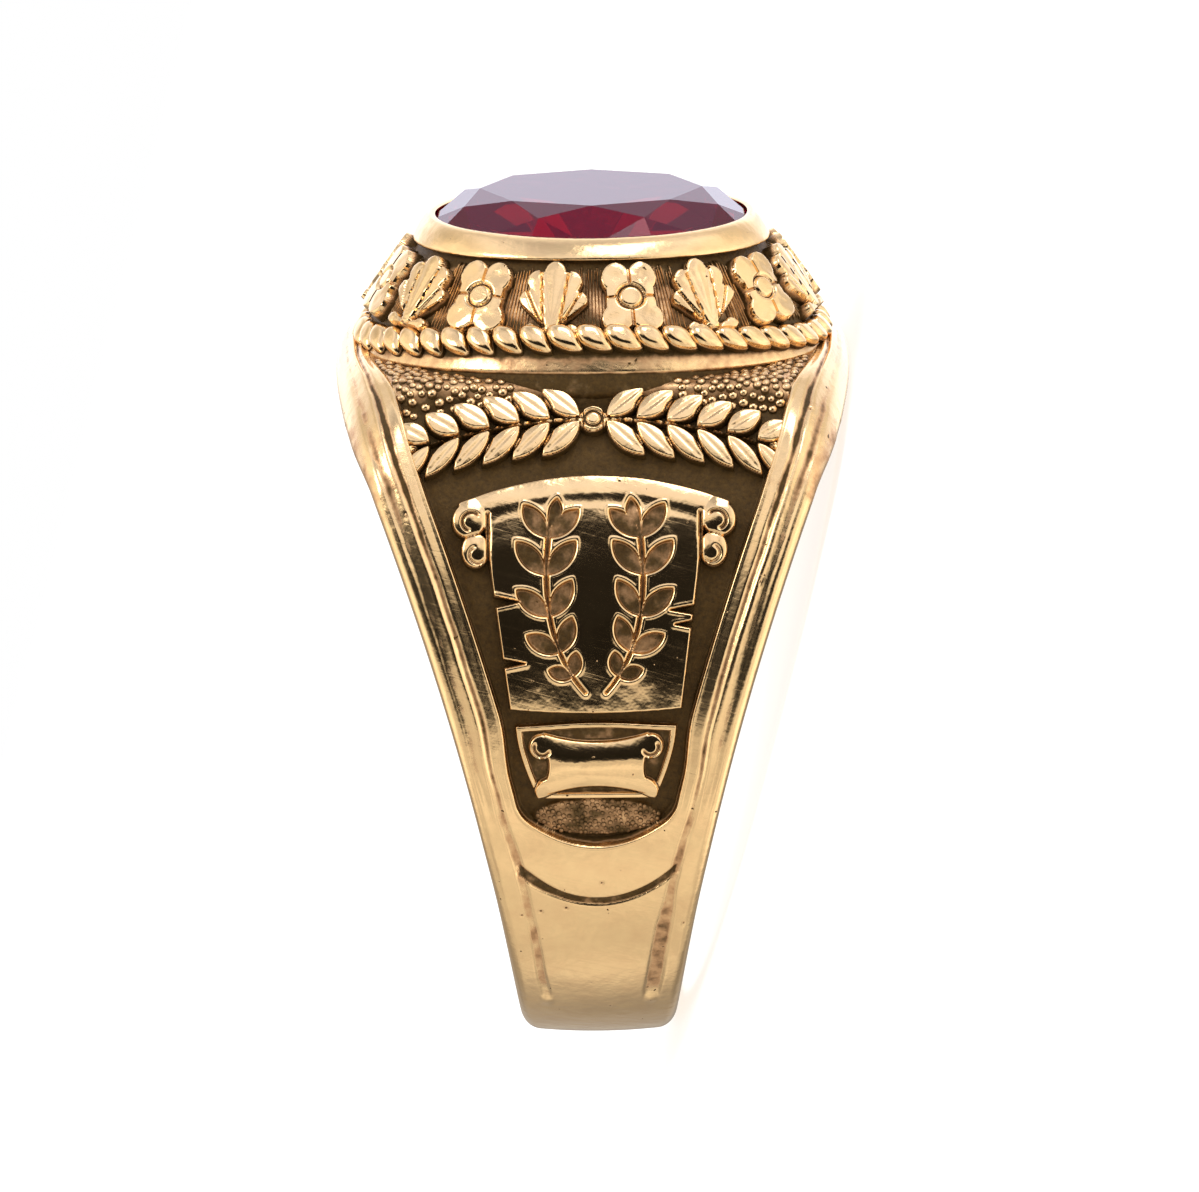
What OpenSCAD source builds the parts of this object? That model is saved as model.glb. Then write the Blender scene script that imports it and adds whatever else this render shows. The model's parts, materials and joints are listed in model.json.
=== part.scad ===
// Gold gemstone ring with an oval faceted stone, a raised ornament band and a rope border.
// The ring is drawn upright first: X runs along the finger, Z points up to the stone and
// -Y is the shoulder that faces the viewer. laid_down() then turns it to lie on its side.
// Units are millimetres. The origin is on the surface it lies on, under the middle of its box.

/* [Finger hole] */
// Inside diameter
bore_d = 19.8; // [19:0.1:20.6]

/* [Hoop] */
// Thickness of the metal at the back of the finger
back_t = 1.5; // [1.3:0.1:2]
// Width at the back of the finger
back_w = 4.8; // [4:0.1:6]
// Width half way up, level with the middle of the finger hole
middle_w = 8.46; // [7.5:0.1:9.5]
// Width over the shoulders
shoulder_w = 16.3; // [15.8:0.1:17]
// Height of the shoulders above the middle of the finger hole
shoulder_h = 11.6; // [11.4:0.1:12]
// Length of the flat under the head, from shoulder to shoulder
flat_l = 13.6; // [13.4:0.1:14.4]
// Width of each side rail beside the sunk panel
rail_w = 1.65; // [1.5:0.05:1.8]

/* [Sunk panels and grooves] */
// Depth of the sunk panels
panel_d = 0.5; // [0.3:0.05:0.6]
// Lowest point of a panel, below the middle of the finger hole
panel_bottom = 2.6; // [2.4:0.1:2.9]
// Depth of the line grooves
groove_d = 0.16; // [0.1:0.02:0.25]
// Width of the line grooves
groove_w = 0.16; // [0.12:0.02:0.25]

/* [Head] */
// Length of the head along the finger at its base
head_l = 15.0; // [14.6:0.1:15.4]
// Width of the head across the finger at its base
head_w = 13.2; // [13:0.1:13.4]
// Number of beads in the rope border
bead_count = 48; // [40:1:52]
// Diameter of a bead
bead_d = 0.9; // [0.7:0.05:0.92]
// Number of raised ornaments round the band
ornament_count = 16; // [12:1:18]

/* [Stone] */
// Visible length of the stone, along the finger
stone_l = 10; // [9.8:0.1:10.2]
// Visible width of the stone
stone_w = 8; // [7.8:0.1:8.2]
// Height of the crown from the girdle to the flat table
crown_h = 1.05; // [0.9:0.05:1.1]
// Table size as a share of the girdle
table_share = 0.68; // [0.6:0.01:0.72]

/* [Hidden] */
$fn = 96;

// Play between the stone and its seat
seat_gap = 0.04;
// The visible stone is a little smaller than its girdle, because the rim is burnished over it
girdle_hidden = 0.24;
girdle_t = 0.2;
rim_edge_z = 15.52;
girdle_a = stone_l / 2 + girdle_hidden;
girdle_b = stone_w / 2 + girdle_hidden;
table_a = girdle_a * table_share;
table_z = rim_edge_z + 0.79;
girdle_top_z = table_z - crown_h;
culet_z = 11.95;
// The points between the table's corners, where the star facets end
star_share = 0.84;
star_drop = (star_share * cos(22.5) - table_share) / (1 - table_share) * crown_h;
// Size of the crown at the rim's edge, as a share of the girdle
rim_share = 1 - (1 - star_share) * (rim_edge_z - girdle_top_z) / (crown_h - star_drop);
// The points between the girdle and the culet, where the lower facets end
belly_share = 0.62;
belly_z = culet_z + 1.35;

// Side view of the hoop: a circle round the back, two large arcs up to the flat
bore_r = bore_d / 2;
back_r = bore_r + back_t;
flat_half = flat_l / 2;
shoulder_r = (pow(back_r - flat_half, 2) + pow(shoulder_h, 2)) / (2 * (back_r - flat_half));
// Longer than the ring in every direction, for cutting solids
beyond = 40;

// Front view of the hoop: the half width is a parabola through the three given widths
width_h = 11;
width_curve = ((shoulder_w - middle_w) / width_h + (back_w - middle_w) / back_r)
    / (2 * (width_h + back_r));
width_slope = (shoulder_w - middle_w) / (2 * width_h) - width_curve * width_h;
// The shoulders flare a little more just under the head
flare = 0.17;
flare_from = 8.3;
flare_to = 9.6;
function smooth(t) = let (c = min(max(t, 0), 1)) c * c * (3 - 2 * c);
function half_width(z) = middle_w / 2 + width_slope * z + width_curve * z * z
    + flare * smooth((z - flare_from) / (flare_to - flare_from));
// Where the shoulders start to round off to the top
shoulder_turn = 0.45;
widest_z = shoulder_h - shoulder_turn;

// The ring lies on its widest shoulder corners and the side of the hoop at the back
lying_tilt = atan2(half_width(widest_z) - half_width(-back_r), widest_z + back_r);
lying_h = back_r * sin(lying_tilt) + half_width(-back_r) * cos(lying_tilt);
lying_front = table_z * cos(lying_tilt) + table_a * sin(lying_tilt);
lying_back = -back_r * cos(lying_tilt) - half_width(-back_r) * sin(lying_tilt);
lying_mid = (lying_front + lying_back) / 2;

// Points along a stretch of height, from low to high, in even steps
function heights(low, high, steps) = [for (i = [0 : steps]) low + (high - low) * i / steps];
// An outline that is the same on both sides of the middle plane
function mirrored(side) = concat(
    side,
    [for (i = [len(side) - 1 : -1 : 0]) [-side[i][0], side[i][1]]]
);
// Points on a shallow arc that sags below its two ends
function sagging(half, end_z, sag, steps) = [
    for (i = [0 : steps]) [half * (1 - 2 * i / steps), end_z - sag * sin(180 * i / steps)]
];

// A solid that is the given front view all the way through
module through(outline) {
    rotate([90, 0, 0])
        linear_extrude(height = beyond, center = true)
            polygon(outline);
}

module along_finger(r, shift) {
    translate([0, shift, 0])
        rotate([0, 90, 0])
            cylinder(r = r, h = beyond, center = true);
}

// The four top corners are drawn in to a cone round the finger, on each side of the middle
cone_r = 16.85;
cone_slope = 0.61;
cone_l = 9.5;
module corner_cones(inset) {
    for (side = [1, -1])
        rotate([0, side * 90, 0])
            cylinder(h = cone_l, r1 = cone_r - inset, r2 = cone_r - cone_slope * cone_l - inset);
}

// The side view all the way through, shrunk by the inset
module side_form(inset) {
    intersection() {
        along_finger(back_r - inset, 0);
        translate([-beyond / 2, -beyond / 2, -beyond])
            cube([beyond, beyond, beyond]);
    }
    intersection() {
        along_finger(shoulder_r - inset, shoulder_r - back_r);
        along_finger(shoulder_r - inset, back_r - shoulder_r);
        corner_cones(inset);
        translate([-beyond / 2, -beyond / 2, 0])
            cube([beyond, beyond, shoulder_h - inset]);
    }
}

// A shape standing on the sunk panels, as high as the inset below the rails leaves it
module raised(outline, inset) {
    intersection() {
        through(outline);
        side_form(inset);
    }
}

// A cut of one depth in the shape of the outline
module sunk(outline, depth) {
    difference() {
        through(outline);
        side_form(depth);
    }
}

function hoop_outline() = mirrored(concat(
    [[half_width(-back_r), -back_r - 1]],
    [for (z = heights(-back_r, widest_z, 24)) [half_width(z), z]],
    [[half_width(widest_z) - shoulder_turn / 2, shoulder_h + 1]]
));

function panel_half(z) = half_width(z) - rail_w;

function panel_outline() = concat(
    [for (z = heights(-panel_bottom + 0.9, shoulder_h + 1, 12)) [panel_half(z), z]],
    [for (z = heights(-shoulder_h - 1, panel_bottom - 0.9, 12)) [-panel_half(-z), -z]],
    [for (p = sagging(-panel_half(-panel_bottom + 0.9), -panel_bottom + 0.9, 0.9, 12)) p]
);

// The line that runs down each rail
rail_line = 0.95;
rail_line_bottom = -8.8;
function rail_groove() = concat(
    [for (z = heights(rail_line_bottom, shoulder_h + 1, 16)) [half_width(z) - rail_line, z]],
    [for (z = heights(-shoulder_h - 1, -rail_line_bottom, 16))
        [half_width(-z) - rail_line - groove_w, -z]]
);

// The curved line across the hoop below each panel
smile_half = 2.45;
smile_z = -3.4;
smile_sag = 1.15;
function smile_groove() = concat(
    sagging(smile_half, smile_z, smile_sag, 16),
    sagging(-smile_half, smile_z - groove_w, smile_sag, 16)
);

module hoop() {
    difference() {
        intersection() {
            side_form(0);
            through(hoop_outline());
        }
        sunk(panel_outline(), panel_d);
        for (side = [1, -1])
            sunk([for (p = rail_groove()) [side * p[0], p[1]]], groove_d);
        sunk(smile_groove(), groove_d);
    }
}

// The tall plate on each shoulder: an arched top with scrolled ends over a tapering body
plate_inset = 0.06;
plate_top = 9.05;
plate_arch = 0.8;
plate_scroll_half = 4.4;
plate_scroll_z = 6.2;
plate_neck_half = 3.35;
plate_foot_half = 2.72;
plate_foot_z = 1.8;
function plate_outline() = concat(
    [for (i = [0 : 12])
        [plate_scroll_half * cos(15 * i), plate_top - plate_arch + plate_arch * sin(15 * i)]],
    [
        [-plate_scroll_half, plate_scroll_z + 0.5],
        [-plate_scroll_half + 0.5, plate_scroll_z],
        [-plate_neck_half, plate_scroll_z],
        [-plate_foot_half, plate_foot_z],
        [plate_foot_half, plate_foot_z],
        [plate_neck_half, plate_scroll_z],
        [plate_scroll_half - 0.5, plate_scroll_z],
        [plate_scroll_half, plate_scroll_z + 0.5]
    ]
);

// A curved plume cut into the plate, drawn between two arcs that meet at its foot
plume_top = 7.9;
plume_foot = 2.3;
plume_bow = 1.25;
plume_w = 0.9;
function plume(x, lean) = concat(
    [for (t = heights(0, 1, 10))
        [x + lean * t - plume_bow * sin(90 * t) - plume_w * sin(180 * t) / 2,
            plume_foot + (plume_top - plume_foot) * t]],
    [for (t = heights(0, 1, 10))
        [x + lean * (1 - t) - plume_bow * sin(90 * (1 - t)) + plume_w * sin(180 * t) / 2,
            plume_top - (plume_top - plume_foot) * t]]
);

// The small plate under it is a cup whose sides curve in to the foot
cup_half = 2.5;
cup_top = 1.4;
cup_bottom = -1;
function cup_outline() = mirrored([
    for (t = heights(0, 1, 6)) [cup_half - 0.65 * (1 - t) * (1 - t), cup_bottom + (cup_top - cup_bottom) * t]
]);

// A scroll lies across the cup, with hollow top and bottom edges
scroll_half = 1.95;
scroll_hollow = 0.28;
function scroll_outline() = concat(
    sagging(scroll_half, 1.2, scroll_hollow, 8),
    sagging(-scroll_half + 0.15, -1.05, -scroll_hollow, 8)
);

// A row of pointed leaves over the plate, following its arch
leaf_count = 7;
leaf_l = 1.7;
leaf_wide = 0.72;
leaf_row_half = 4.9;
leaf_row_z = 10.35;
leaf_row_arch = 1.1;
leaf_lean = 24;
function leaf(x, z, turn) = [
    for (i = [0 : 11])
        let (a = 30 * i, u = leaf_wide / 2 * cos(a), v = leaf_l / 2 * sin(a) * (1 - 0.18 * abs(cos(a))))
            [x + u * cos(turn) - v * sin(turn), z + u * sin(turn) + v * cos(turn)]
];

module shoulder_relief() {
    difference() {
        raised(plate_outline(), plate_inset);
        for (x = [0.55, 3.05])
            sunk(plume(x - 0.9, 0.35), plate_inset + groove_d);
    }
    raised(cup_outline(), panel_d - 0.2);
    raised(scroll_outline(), plate_inset);
    for (i = [0 : leaf_count - 1])
        let (x = leaf_row_half * (2 * i / (leaf_count - 1) - 1))
            raised(leaf(x, leaf_row_z - leaf_row_arch * pow(x / leaf_row_half, 2),
                (i % 2 == 0 ? 1 : -1) * leaf_lean), plate_inset);
}

// A solid through oval rings, each [half length, half width, height, extra height at the
// sides], closed at both ends
module oval_loft(rings, sides) {
    count = len(rings);
    points = [
        for (r = rings)
            for (i = [0 : sides - 1])
                let (a = 360 * i / sides)
                    [r[0] * cos(a), r[1] * sin(a), r[2] + r[3] * pow(sin(a), 2)]
    ];
    walls = [
        for (k = [0 : count - 2])
            for (i = [0 : sides - 1])
                let (j = (i + 1) % sides)
                    each [
                        [k * sides + i, (k + 1) * sides + i, (k + 1) * sides + j],
                        [k * sides + i, (k + 1) * sides + j, k * sides + j]
                    ]
    ];
    foot = [[for (i = [0 : sides - 1]) i]];
    top = [[for (i = [sides - 1 : -1 : 0]) (count - 1) * sides + i]];
    polyhedron(points = points, faces = concat(foot, walls, top));
}

// The head swells to the rope, slopes in to the rim and holds the stone in a hollow. Its
// rings dip at the ends, as they follow the shoulders.
rope_z = 11.8;
rope_rise = 1;
rope_inset = 0.14;
band_bottom_z = 12.2;
rim_bottom_z = 14.6;
rim_a = 5.72;
rim_b = 4.95;
function head_rings() = [
    [head_l / 2 - 0.4, head_w / 2 - 0.4, shoulder_h - 1.2, 0],
    [head_l / 2 + 0.08, head_w / 2 + 0.28, shoulder_h - 0.1, 0.5],
    [head_l / 2, head_w / 2 + 0.2, shoulder_h + 0.05, 0.75],
    [head_l / 2 - 0.32, head_w / 2 - 0.12, rope_z, 0.9],
    [head_l / 2 - 0.38, head_w / 2 - 0.25, band_bottom_z, 0.55],
    [(head_l / 2 - 0.38 + rim_a - 0.3) / 2, (head_w / 2 - 0.25 + rim_b - 0.2) / 2, 13.4, 0.35],
    [rim_a - 0.3, rim_b - 0.2, rim_bottom_z, 0.27],
    [rim_a, rim_b, rim_bottom_z + 0.3, 0.2],
    [rim_a - 0.06, rim_b - 0.08, rim_bottom_z + 0.54, 0.14],
    [rim_a - 0.3, rim_b - 0.37, rim_edge_z - 0.08, 0.05],
    [rim_a - 0.54, rim_b - 0.65, rim_edge_z + 0.03, 0],
    [girdle_a * rim_share + seat_gap, girdle_b * rim_share + seat_gap, rim_edge_z, 0],
    [girdle_a + seat_gap, girdle_b + seat_gap, girdle_top_z + seat_gap / 2, 0],
    [girdle_a + seat_gap, girdle_b + seat_gap, girdle_top_z - girdle_t - seat_gap, 0],
    [girdle_a * belly_share + seat_gap, girdle_b * belly_share + seat_gap, belly_z - seat_gap * 2, 0],
    [1.1, 0.9, culet_z - 0.12, 0]
];
module rope_border() {
    for (i = [0 : bead_count - 1])
        let (a = 360 * i / bead_count)
            translate([
                (head_l / 2 - rope_inset) * cos(a),
                (head_w / 2 + 0.02) * sin(a),
                rope_z + rope_rise * pow(sin(a), 2)
            ])
                sphere(d = bead_d);
}

// Plain lozenges stand on the sloping band in place of any lettering
ornament_size = 1.25;
ornament_h = 0.7;
module band_ornaments() {
    a_mid = 6.42;
    b_mid = 5.6;
    z_mid = 13.42;
    rise = 0.35;
    slope = 55;
    for (i = [0 : ornament_count - 1])
        let (a = 360 * (i + 0.5) / ornament_count)
            translate([
                (a_mid + 0.12) * cos(a), (b_mid + 0.12) * sin(a), z_mid + 0.05 + rise * pow(sin(a), 2)
            ])
                rotate([0, 0, atan2(a_mid * sin(a), b_mid * cos(a))])
                    rotate([0, 90 - slope, 0])
                        rotate([0, 0, 45])
                            cube([ornament_size, ornament_size, ornament_h], center = true);
}

module laid_down() {
    translate([-lying_mid, 0, lying_h])
        rotate([0, 90 - lying_tilt, 0])
            children();
}

module ring_body() {
    color("goldenrod")
        laid_down()
            difference() {
                union() {
                    hoop();
                    shoulder_relief();
                    oval_loft(head_rings(), 48);
                    rope_border();
                    band_ornaments();
                }
                along_finger(bore_r, 0);
            }
}

// Standard brilliant cut, drawn round at half size 1 and stretched to the oval
module stone() {
    function cut(r, a, z) = [girdle_a * r * cos(a), girdle_b * r * sin(a), z];
    corners = concat(
        [for (i = [0 : 7]) cut(table_share, 45 * i, table_z)],
        [for (i = [0 : 7]) cut(star_share, 45 * i + 22.5, table_z - star_drop)],
        [for (i = [0 : 15]) cut(1, 22.5 * i, girdle_top_z)],
        [for (i = [0 : 15]) cut(1, 22.5 * i, girdle_top_z - girdle_t)],
        [for (i = [0 : 7]) cut(belly_share, 45 * i + 22.5, belly_z)],
        [for (i = [0 : 7]) cut(0.03, 45 * i, culet_z)]
    );
    color("firebrick", 0.8)
        laid_down()
            hull()
                polyhedron(points = corners, faces = [[for (i = [0 : len(corners) - 1]) i]]);
}

ring_body();
stone();
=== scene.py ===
"""Gold gemstone ring lying on its side: cast relief, oxidised recesses and a faceted red stone.

Sizes inside the functions are millimetres in the ring's own upright frame: X along the
finger, Z up to the stone and -Y to the shoulder that faces the camera. place() takes a
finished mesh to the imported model's frame, in metres, where the ring lies on its side.
"""

import json
import math
from itertools import product
from types import SimpleNamespace

import bmesh
import bpy
import numpy as np
from bpy.props import FloatProperty, FloatVectorProperty, IntProperty, PointerProperty
from bpy.types import Operator, Panel, PropertyGroup
from mathutils import Matrix, Vector


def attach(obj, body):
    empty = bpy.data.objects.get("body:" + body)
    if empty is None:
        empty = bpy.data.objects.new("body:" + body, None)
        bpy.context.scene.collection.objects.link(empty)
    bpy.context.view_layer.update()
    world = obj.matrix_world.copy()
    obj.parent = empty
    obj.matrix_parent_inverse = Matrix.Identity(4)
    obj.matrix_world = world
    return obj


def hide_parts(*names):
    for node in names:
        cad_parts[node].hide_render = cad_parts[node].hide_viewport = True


bl_info = {
    "name": "Gold gemstone ring",
    "version": (1, 0, 0),
    "blender": (4, 5, 0),
    "location": "3D View > Sidebar > Ring",
    "description": "Builds a cast gold ring with an oval faceted stone and relief shoulders",
    "category": "Object",
}

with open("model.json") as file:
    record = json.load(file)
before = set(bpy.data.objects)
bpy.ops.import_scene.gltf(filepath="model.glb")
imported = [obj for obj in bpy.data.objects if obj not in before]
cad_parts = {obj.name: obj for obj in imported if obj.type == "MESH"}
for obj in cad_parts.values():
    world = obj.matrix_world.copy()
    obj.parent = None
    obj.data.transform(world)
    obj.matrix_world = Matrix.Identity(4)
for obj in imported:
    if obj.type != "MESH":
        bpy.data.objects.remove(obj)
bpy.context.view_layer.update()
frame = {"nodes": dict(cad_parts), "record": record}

MM = 0.001
PHOTO_W = 1199
BODY = "root"
CAST_NODE, STONE_NODE = "ring_body", "stone"

# The finger hole's mount gives the ring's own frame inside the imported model
BORE = next(m for m in frame["record"]["mounts"] if m["name"] == "finger_bore")
FINGER = -Vector(BORE["axis"]).normalized()
NEAR = Vector((0.0, -1.0, 0.0))
UP = NEAR.cross(FINGER)
CENTRE = Vector(BORE["pos_m"])
BORE_R = BORE["dims"]["r_mm"]


def to_row():
    """Matrix from the ring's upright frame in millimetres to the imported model's frame in metres."""
    turn = Matrix((FINGER, -NEAR, UP)).transposed().to_4x4()
    return Matrix.Translation(CENTRE) @ turn @ Matrix.Scale(MM, 4)


def linear(hex_colour):
    """An sRGB hex colour as linear RGB."""
    parts = [int(hex_colour[i : i + 2], 16) / 255 for i in (0, 2, 4)]
    return tuple(c / 12.92 if c <= 0.04045 else ((c + 0.055) / 1.055) ** 2.4 for c in parts)


def length(name, description, default_mm):
    """A length property, given in millimetres and kept in metres."""
    return FloatProperty(
        name=name, description=description, default=default_mm * MM, unit="LENGTH", precision=5
    )


def colour(name, description, hex_colour):
    """A colour property, given as sRGB hex."""
    return FloatVectorProperty(
        name=name, description=description, default=linear(hex_colour), subtype="COLOR",
        min=0, max=1,
    )


def angle(name, description, degrees):
    """An angle property, given in degrees."""
    return FloatProperty(
        name=name, description=description, default=math.radians(degrees), unit="ROTATION"
    )


def count_of(name, description, default, low, high):
    """A property that counts pieces."""
    return IntProperty(name=name, description=description, default=default, min=low, max=high)


class HoopSizes(PropertyGroup):
    """Sizes of the hoop and its shoulders."""

    back_t: length("Back thickness", "Metal thickness at the back of the finger", 1.5)
    back_w: length("Back width", "Width at the back of the finger", 4.8)
    middle_w: length("Middle width", "Width level with the middle of the finger hole", 8.46)
    shoulder_w: length("Shoulder width", "Width over the shoulders", 16.3)
    shoulder_h: length("Shoulder height", "Top of the shoulders above the hole's middle", 11.6)
    flat_l: length("Flat length", "Flat under the head, from shoulder to shoulder", 13.6)
    rail_w: length("Rail width", "Width of each rail beside the sunk panel", 1.65)
    edge_r: length("Edge rounding", "Radius of the hoop's worn outer edges", 0.4)
    panel_d: length("Panel depth", "Depth of the sunk panels below the rails", 0.55)


class HeadSizes(PropertyGroup):
    """Sizes of the head, its band and its rope border."""

    beads: count_of("Beads", "Beads in the rope border", 48, 20, 80)
    bead_w: length("Bead width", "Width of one bead along the border", 0.9)
    ornaments: count_of("Ornaments", "Raised ornaments round the band", 16, 8, 24)
    ornament_h: length("Ornament height", "How far the ornaments stand off the band", 0.42)


class GoldLook(PropertyGroup):
    """Colours of the metal and what has gathered in its recesses."""

    gold: colour("Gold", "Clean polished yellow gold", "EFCA94")
    warm: colour("Warm gold", "The same metal where wear has left it duller and redder", "E0B584")
    russet: colour("Russet", "A thin film of oxide over the metal", "A2643C")
    patina: colour("Patina", "Dark oxide in the deepest recesses", "1C1305")
    olive: colour("Olive", "Thinner oxide on broad sunk grounds", "6E501F")


class StageLook(PropertyGroup):
    """The floor, the light and the camera."""

    elevation: angle("Elevation", "Camera's height over the level of the finger", 14.0)
    distance: length("Distance", "Camera to the ring's middle", 320.0)
    aim_up: length("Aim height", "Point aimed at, above the hole's middle", 2.79)
    aim_side: length("Aim offset", "Point aimed at, along the finger", 0.146)
    roll: angle("Roll", "How far the ring leans in the picture", -0.55)
    focal_px: FloatProperty(
        name="Focal length", description="Focal length in pixels of the picture", default=9871.0
    )
    floor: colour("Floor", "Plain white paper", "C2C1BF")


def read_sizes(context):
    """The driving sizes in millimetres, with what follows from them."""
    hoop, head = context.scene.ring_hoop, context.scene.ring_head
    z = SimpleNamespace(
        **{k: getattr(hoop, k) / MM for k in HoopSizes.__annotations__},
        beads=head.beads,
        bead_w=head.bead_w / MM,
        ornaments=head.ornaments,
        ornament_h=head.ornament_h / MM,
    )
    z.back_r = BORE_R + z.back_t
    flat_half = z.flat_l / 2
    z.shoulder_r = ((z.back_r - flat_half) ** 2 + z.shoulder_h**2) / (2 * (z.back_r - flat_half))
    # The half width is a parabola through the widths at the back, the middle and this height
    tall = 11.0
    z.curve = ((z.shoulder_w - z.middle_w) / tall + (z.back_w - z.middle_w) / z.back_r) / (
        2 * (tall + z.back_r)
    )
    z.slope = (z.shoulder_w - z.middle_w) / (2 * tall) - z.curve * tall
    # The corner where each shoulder turns into the flat is rounded
    z.corner_r = 1.0
    z.corner_n = z.back_r - z.shoulder_r + math.sqrt(
        (z.shoulder_r - z.corner_r) ** 2 - (z.shoulder_h - z.corner_r) ** 2
    )
    z.corner_a = math.atan2(z.shoulder_h - z.corner_r, z.corner_n - z.back_r + z.shoulder_r)
    z.s_back = -math.pi / 2 * z.back_r
    z.s_corner = z.shoulder_r * z.corner_a
    z.s_flat = z.s_corner + z.corner_r * (math.pi / 2 - z.corner_a)
    z.s_top = z.s_flat + z.corner_n
    return z


def half_width(z, up):
    """Half the hoop's width at a height, flared under the head and flat past the shoulders."""
    up = np.minimum(up, z.shoulder_h - 0.45)
    return z.middle_w / 2 + z.slope * up + z.curve * up * up + 0.17 * ease(8.3, 9.6, up)


def side_view(z, s):
    """Outer side view at a distance s along it from the finger's level: out, up, and its facing."""
    s = np.asarray(s, float)
    a = np.where(s < 0, s / z.back_r, s / z.shoulder_r)
    a = np.clip(a, -math.pi / 2, z.corner_a)
    lower = s < 0
    out = np.where(lower, z.back_r * np.cos(a), z.back_r - z.shoulder_r + z.shoulder_r * np.cos(a))
    up = np.where(lower, z.back_r * np.sin(a), z.shoulder_r * np.sin(a))
    turn = np.clip(z.corner_a + (s - z.s_corner) / z.corner_r, z.corner_a, math.pi / 2)
    corner = s > z.s_corner
    out = np.where(corner, z.corner_n + z.corner_r * np.cos(turn), out)
    up = np.where(corner, z.shoulder_h - z.corner_r + z.corner_r * np.sin(turn), up)
    a = np.where(corner, turn, a)
    flat = s > z.s_flat
    out = np.where(flat, z.corner_n - (s - z.s_flat), out)
    up = np.where(flat, z.shoulder_h, up)
    return out, up, a


def crown(z, f, s):
    """How far the shoulders' top corners are drawn in towards the finger, 1 where they are not."""
    out, up, _ = side_view(z, s)
    r, a = np.hypot(out, up), np.abs(f)
    # Their reach from the hole's middle falls along the finger, and faster near the ends
    limit = 13.8 - 0.61 * np.maximum(a - 5.0, -2.0) - 0.34 * np.maximum(a - 6.8, 0) ** 2
    soft = np.maximum(0.4 - np.abs(r - limit), 0)
    return np.where(up > 0, (np.minimum(r, limit) - soft**2 / 1.6) / r, 1.0)


def on_shoulder(z, f, s, h, side):
    """Points on the hoop: f along the finger, s along the side view, h above its surface."""
    out, up, a = side_view(z, s)
    q = crown(z, f, s)
    return np.stack([f, -side * (out * q + h * np.cos(a)), up * q + h * np.sin(a)], axis=-1)


def edge_round(z, s):
    """Radius of the hoop's worn outer edges, softer towards the back of the finger."""
    return z.edge_r + 0.2 * ease(-11.0, -15.5, s)


def row_width(z, s):
    """Half the hoop's width along the side view, taken where its rounded edge meets the wall."""
    _, up, a = side_view(z, s)
    drop = edge_round(z, s) * np.sin(a)
    w = half_width(z, up - drop)
    for _ in range(4):
        w = half_width(z, up * crown(z, w, s) - drop)
    return w


def floor_depth(z, s):
    """Depth of the sunk panel, which rises to meet the ledge under the head."""
    return z.panel_d * (1 - 0.7 * ease(z.s_corner - 0.7, z.s_corner + 0.4, s))


def rail_width(z, s):
    """The rails grow narrower where they run in under the head, and beside the panel's foot."""
    waist = ease(1.8, -0.4, s) * ease(-3.4, -1.0, s)
    return z.rail_w * (1 - 0.36 * ease(z.s_corner - 1.5, z.s_flat + 4.0, s) - 0.15 * waist)


def ease(low, high, x):
    """0 below low, 1 above high, smooth between."""
    t = np.clip((np.asarray(x, float) - low) / (high - low), 0, 1)
    return t * t * (3 - 2 * t)


def hump(x, middle, half):
    """1 at the middle, 0 past half on either side, smooth."""
    t = np.clip(np.abs(np.asarray(x, float) - middle) / half, 0, 1)
    return (1 - t * t) ** 2


def turned(x, y, x0, y0, degrees):
    """Coordinates about a point, in axes turned by an angle."""
    c, s = math.cos(math.radians(degrees)), math.sin(math.radians(degrees))
    return (x - x0) * c + (y - y0) * s, -(x - x0) * s + (y - y0) * c


def lancet(x, y, long, wide):
    """Signed distance to a pointed leaf standing along y."""
    b, h = long / 2, wide / 2
    r = (b * b + h * h) / (2 * h)
    d = r - h
    x, y = np.abs(x), np.abs(y)
    return np.where((y - b) * d > x * b, np.hypot(x, y - b), np.hypot(x + d, y) - r)


def box_sd(x, y, half_x, half_y, rounding):
    """Signed distance to a rounded rectangle."""
    qx, qy = np.abs(x) - half_x + rounding, np.abs(y) - half_y + rounding
    outside = np.hypot(np.maximum(qx, 0), np.maximum(qy, 0))
    return outside + np.minimum(np.maximum(qx, qy), 0) - rounding


def wedge_sd(x, y, x0, x1, y0, half):
    """Signed distance to a thin spike from its wide end x0 to its point x1."""
    t = np.clip((x - x0) / (x1 - x0), 0, 1)
    beyond = np.maximum((x - x1) * np.sign(x1 - x0), 0)
    return np.hypot(np.maximum(np.abs(y - y0) - half * (1 - t), 0), beyond) - 0.02 + 0.09 * t**1.5


def bezier(p0, p1, p2, count):
    """Points on a curve with one handle."""
    t = np.linspace(0, 1, count)[:, None]
    p0, p1, p2 = map(np.array, (p0, p1, p2))
    return (1 - t) ** 2 * p0 + 2 * t * (1 - t) * p1 + t * t * p2


def stroke_sd(x, y, points, widths):
    """Signed distance to a line through points whose half width changes along it."""
    best = np.full(np.broadcast(x, y).shape, 99.0)
    for (ax, ay), (bx, by), wa, wb in zip(points[:-1], points[1:], widths[:-1], widths[1:]):
        dx, dy = bx - ax, by - ay
        t = np.clip(((x - ax) * dx + (y - ay) * dy) / (dx * dx + dy * dy), 0, 1)
        best = np.minimum(best, np.hypot(x - ax - t * dx, y - ay - t * dy) - (wa + (wb - wa) * t))
    return best


def ripple(x, y, wave, seed):
    """Soft unevenness between -1 and 1, as casting and years of wear leave it."""
    rng = np.random.default_rng(seed)
    total = np.zeros(np.broadcast(x, y).shape)
    for _ in range(7):
        a, phase, k = rng.uniform(0, math.pi), rng.uniform(0, 6.28), rng.uniform(0.6, 1.5)
        total += np.sin((x * math.cos(a) + y * math.sin(a)) * 2 * math.pi * k / wave + phase)
    return total / 7


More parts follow.
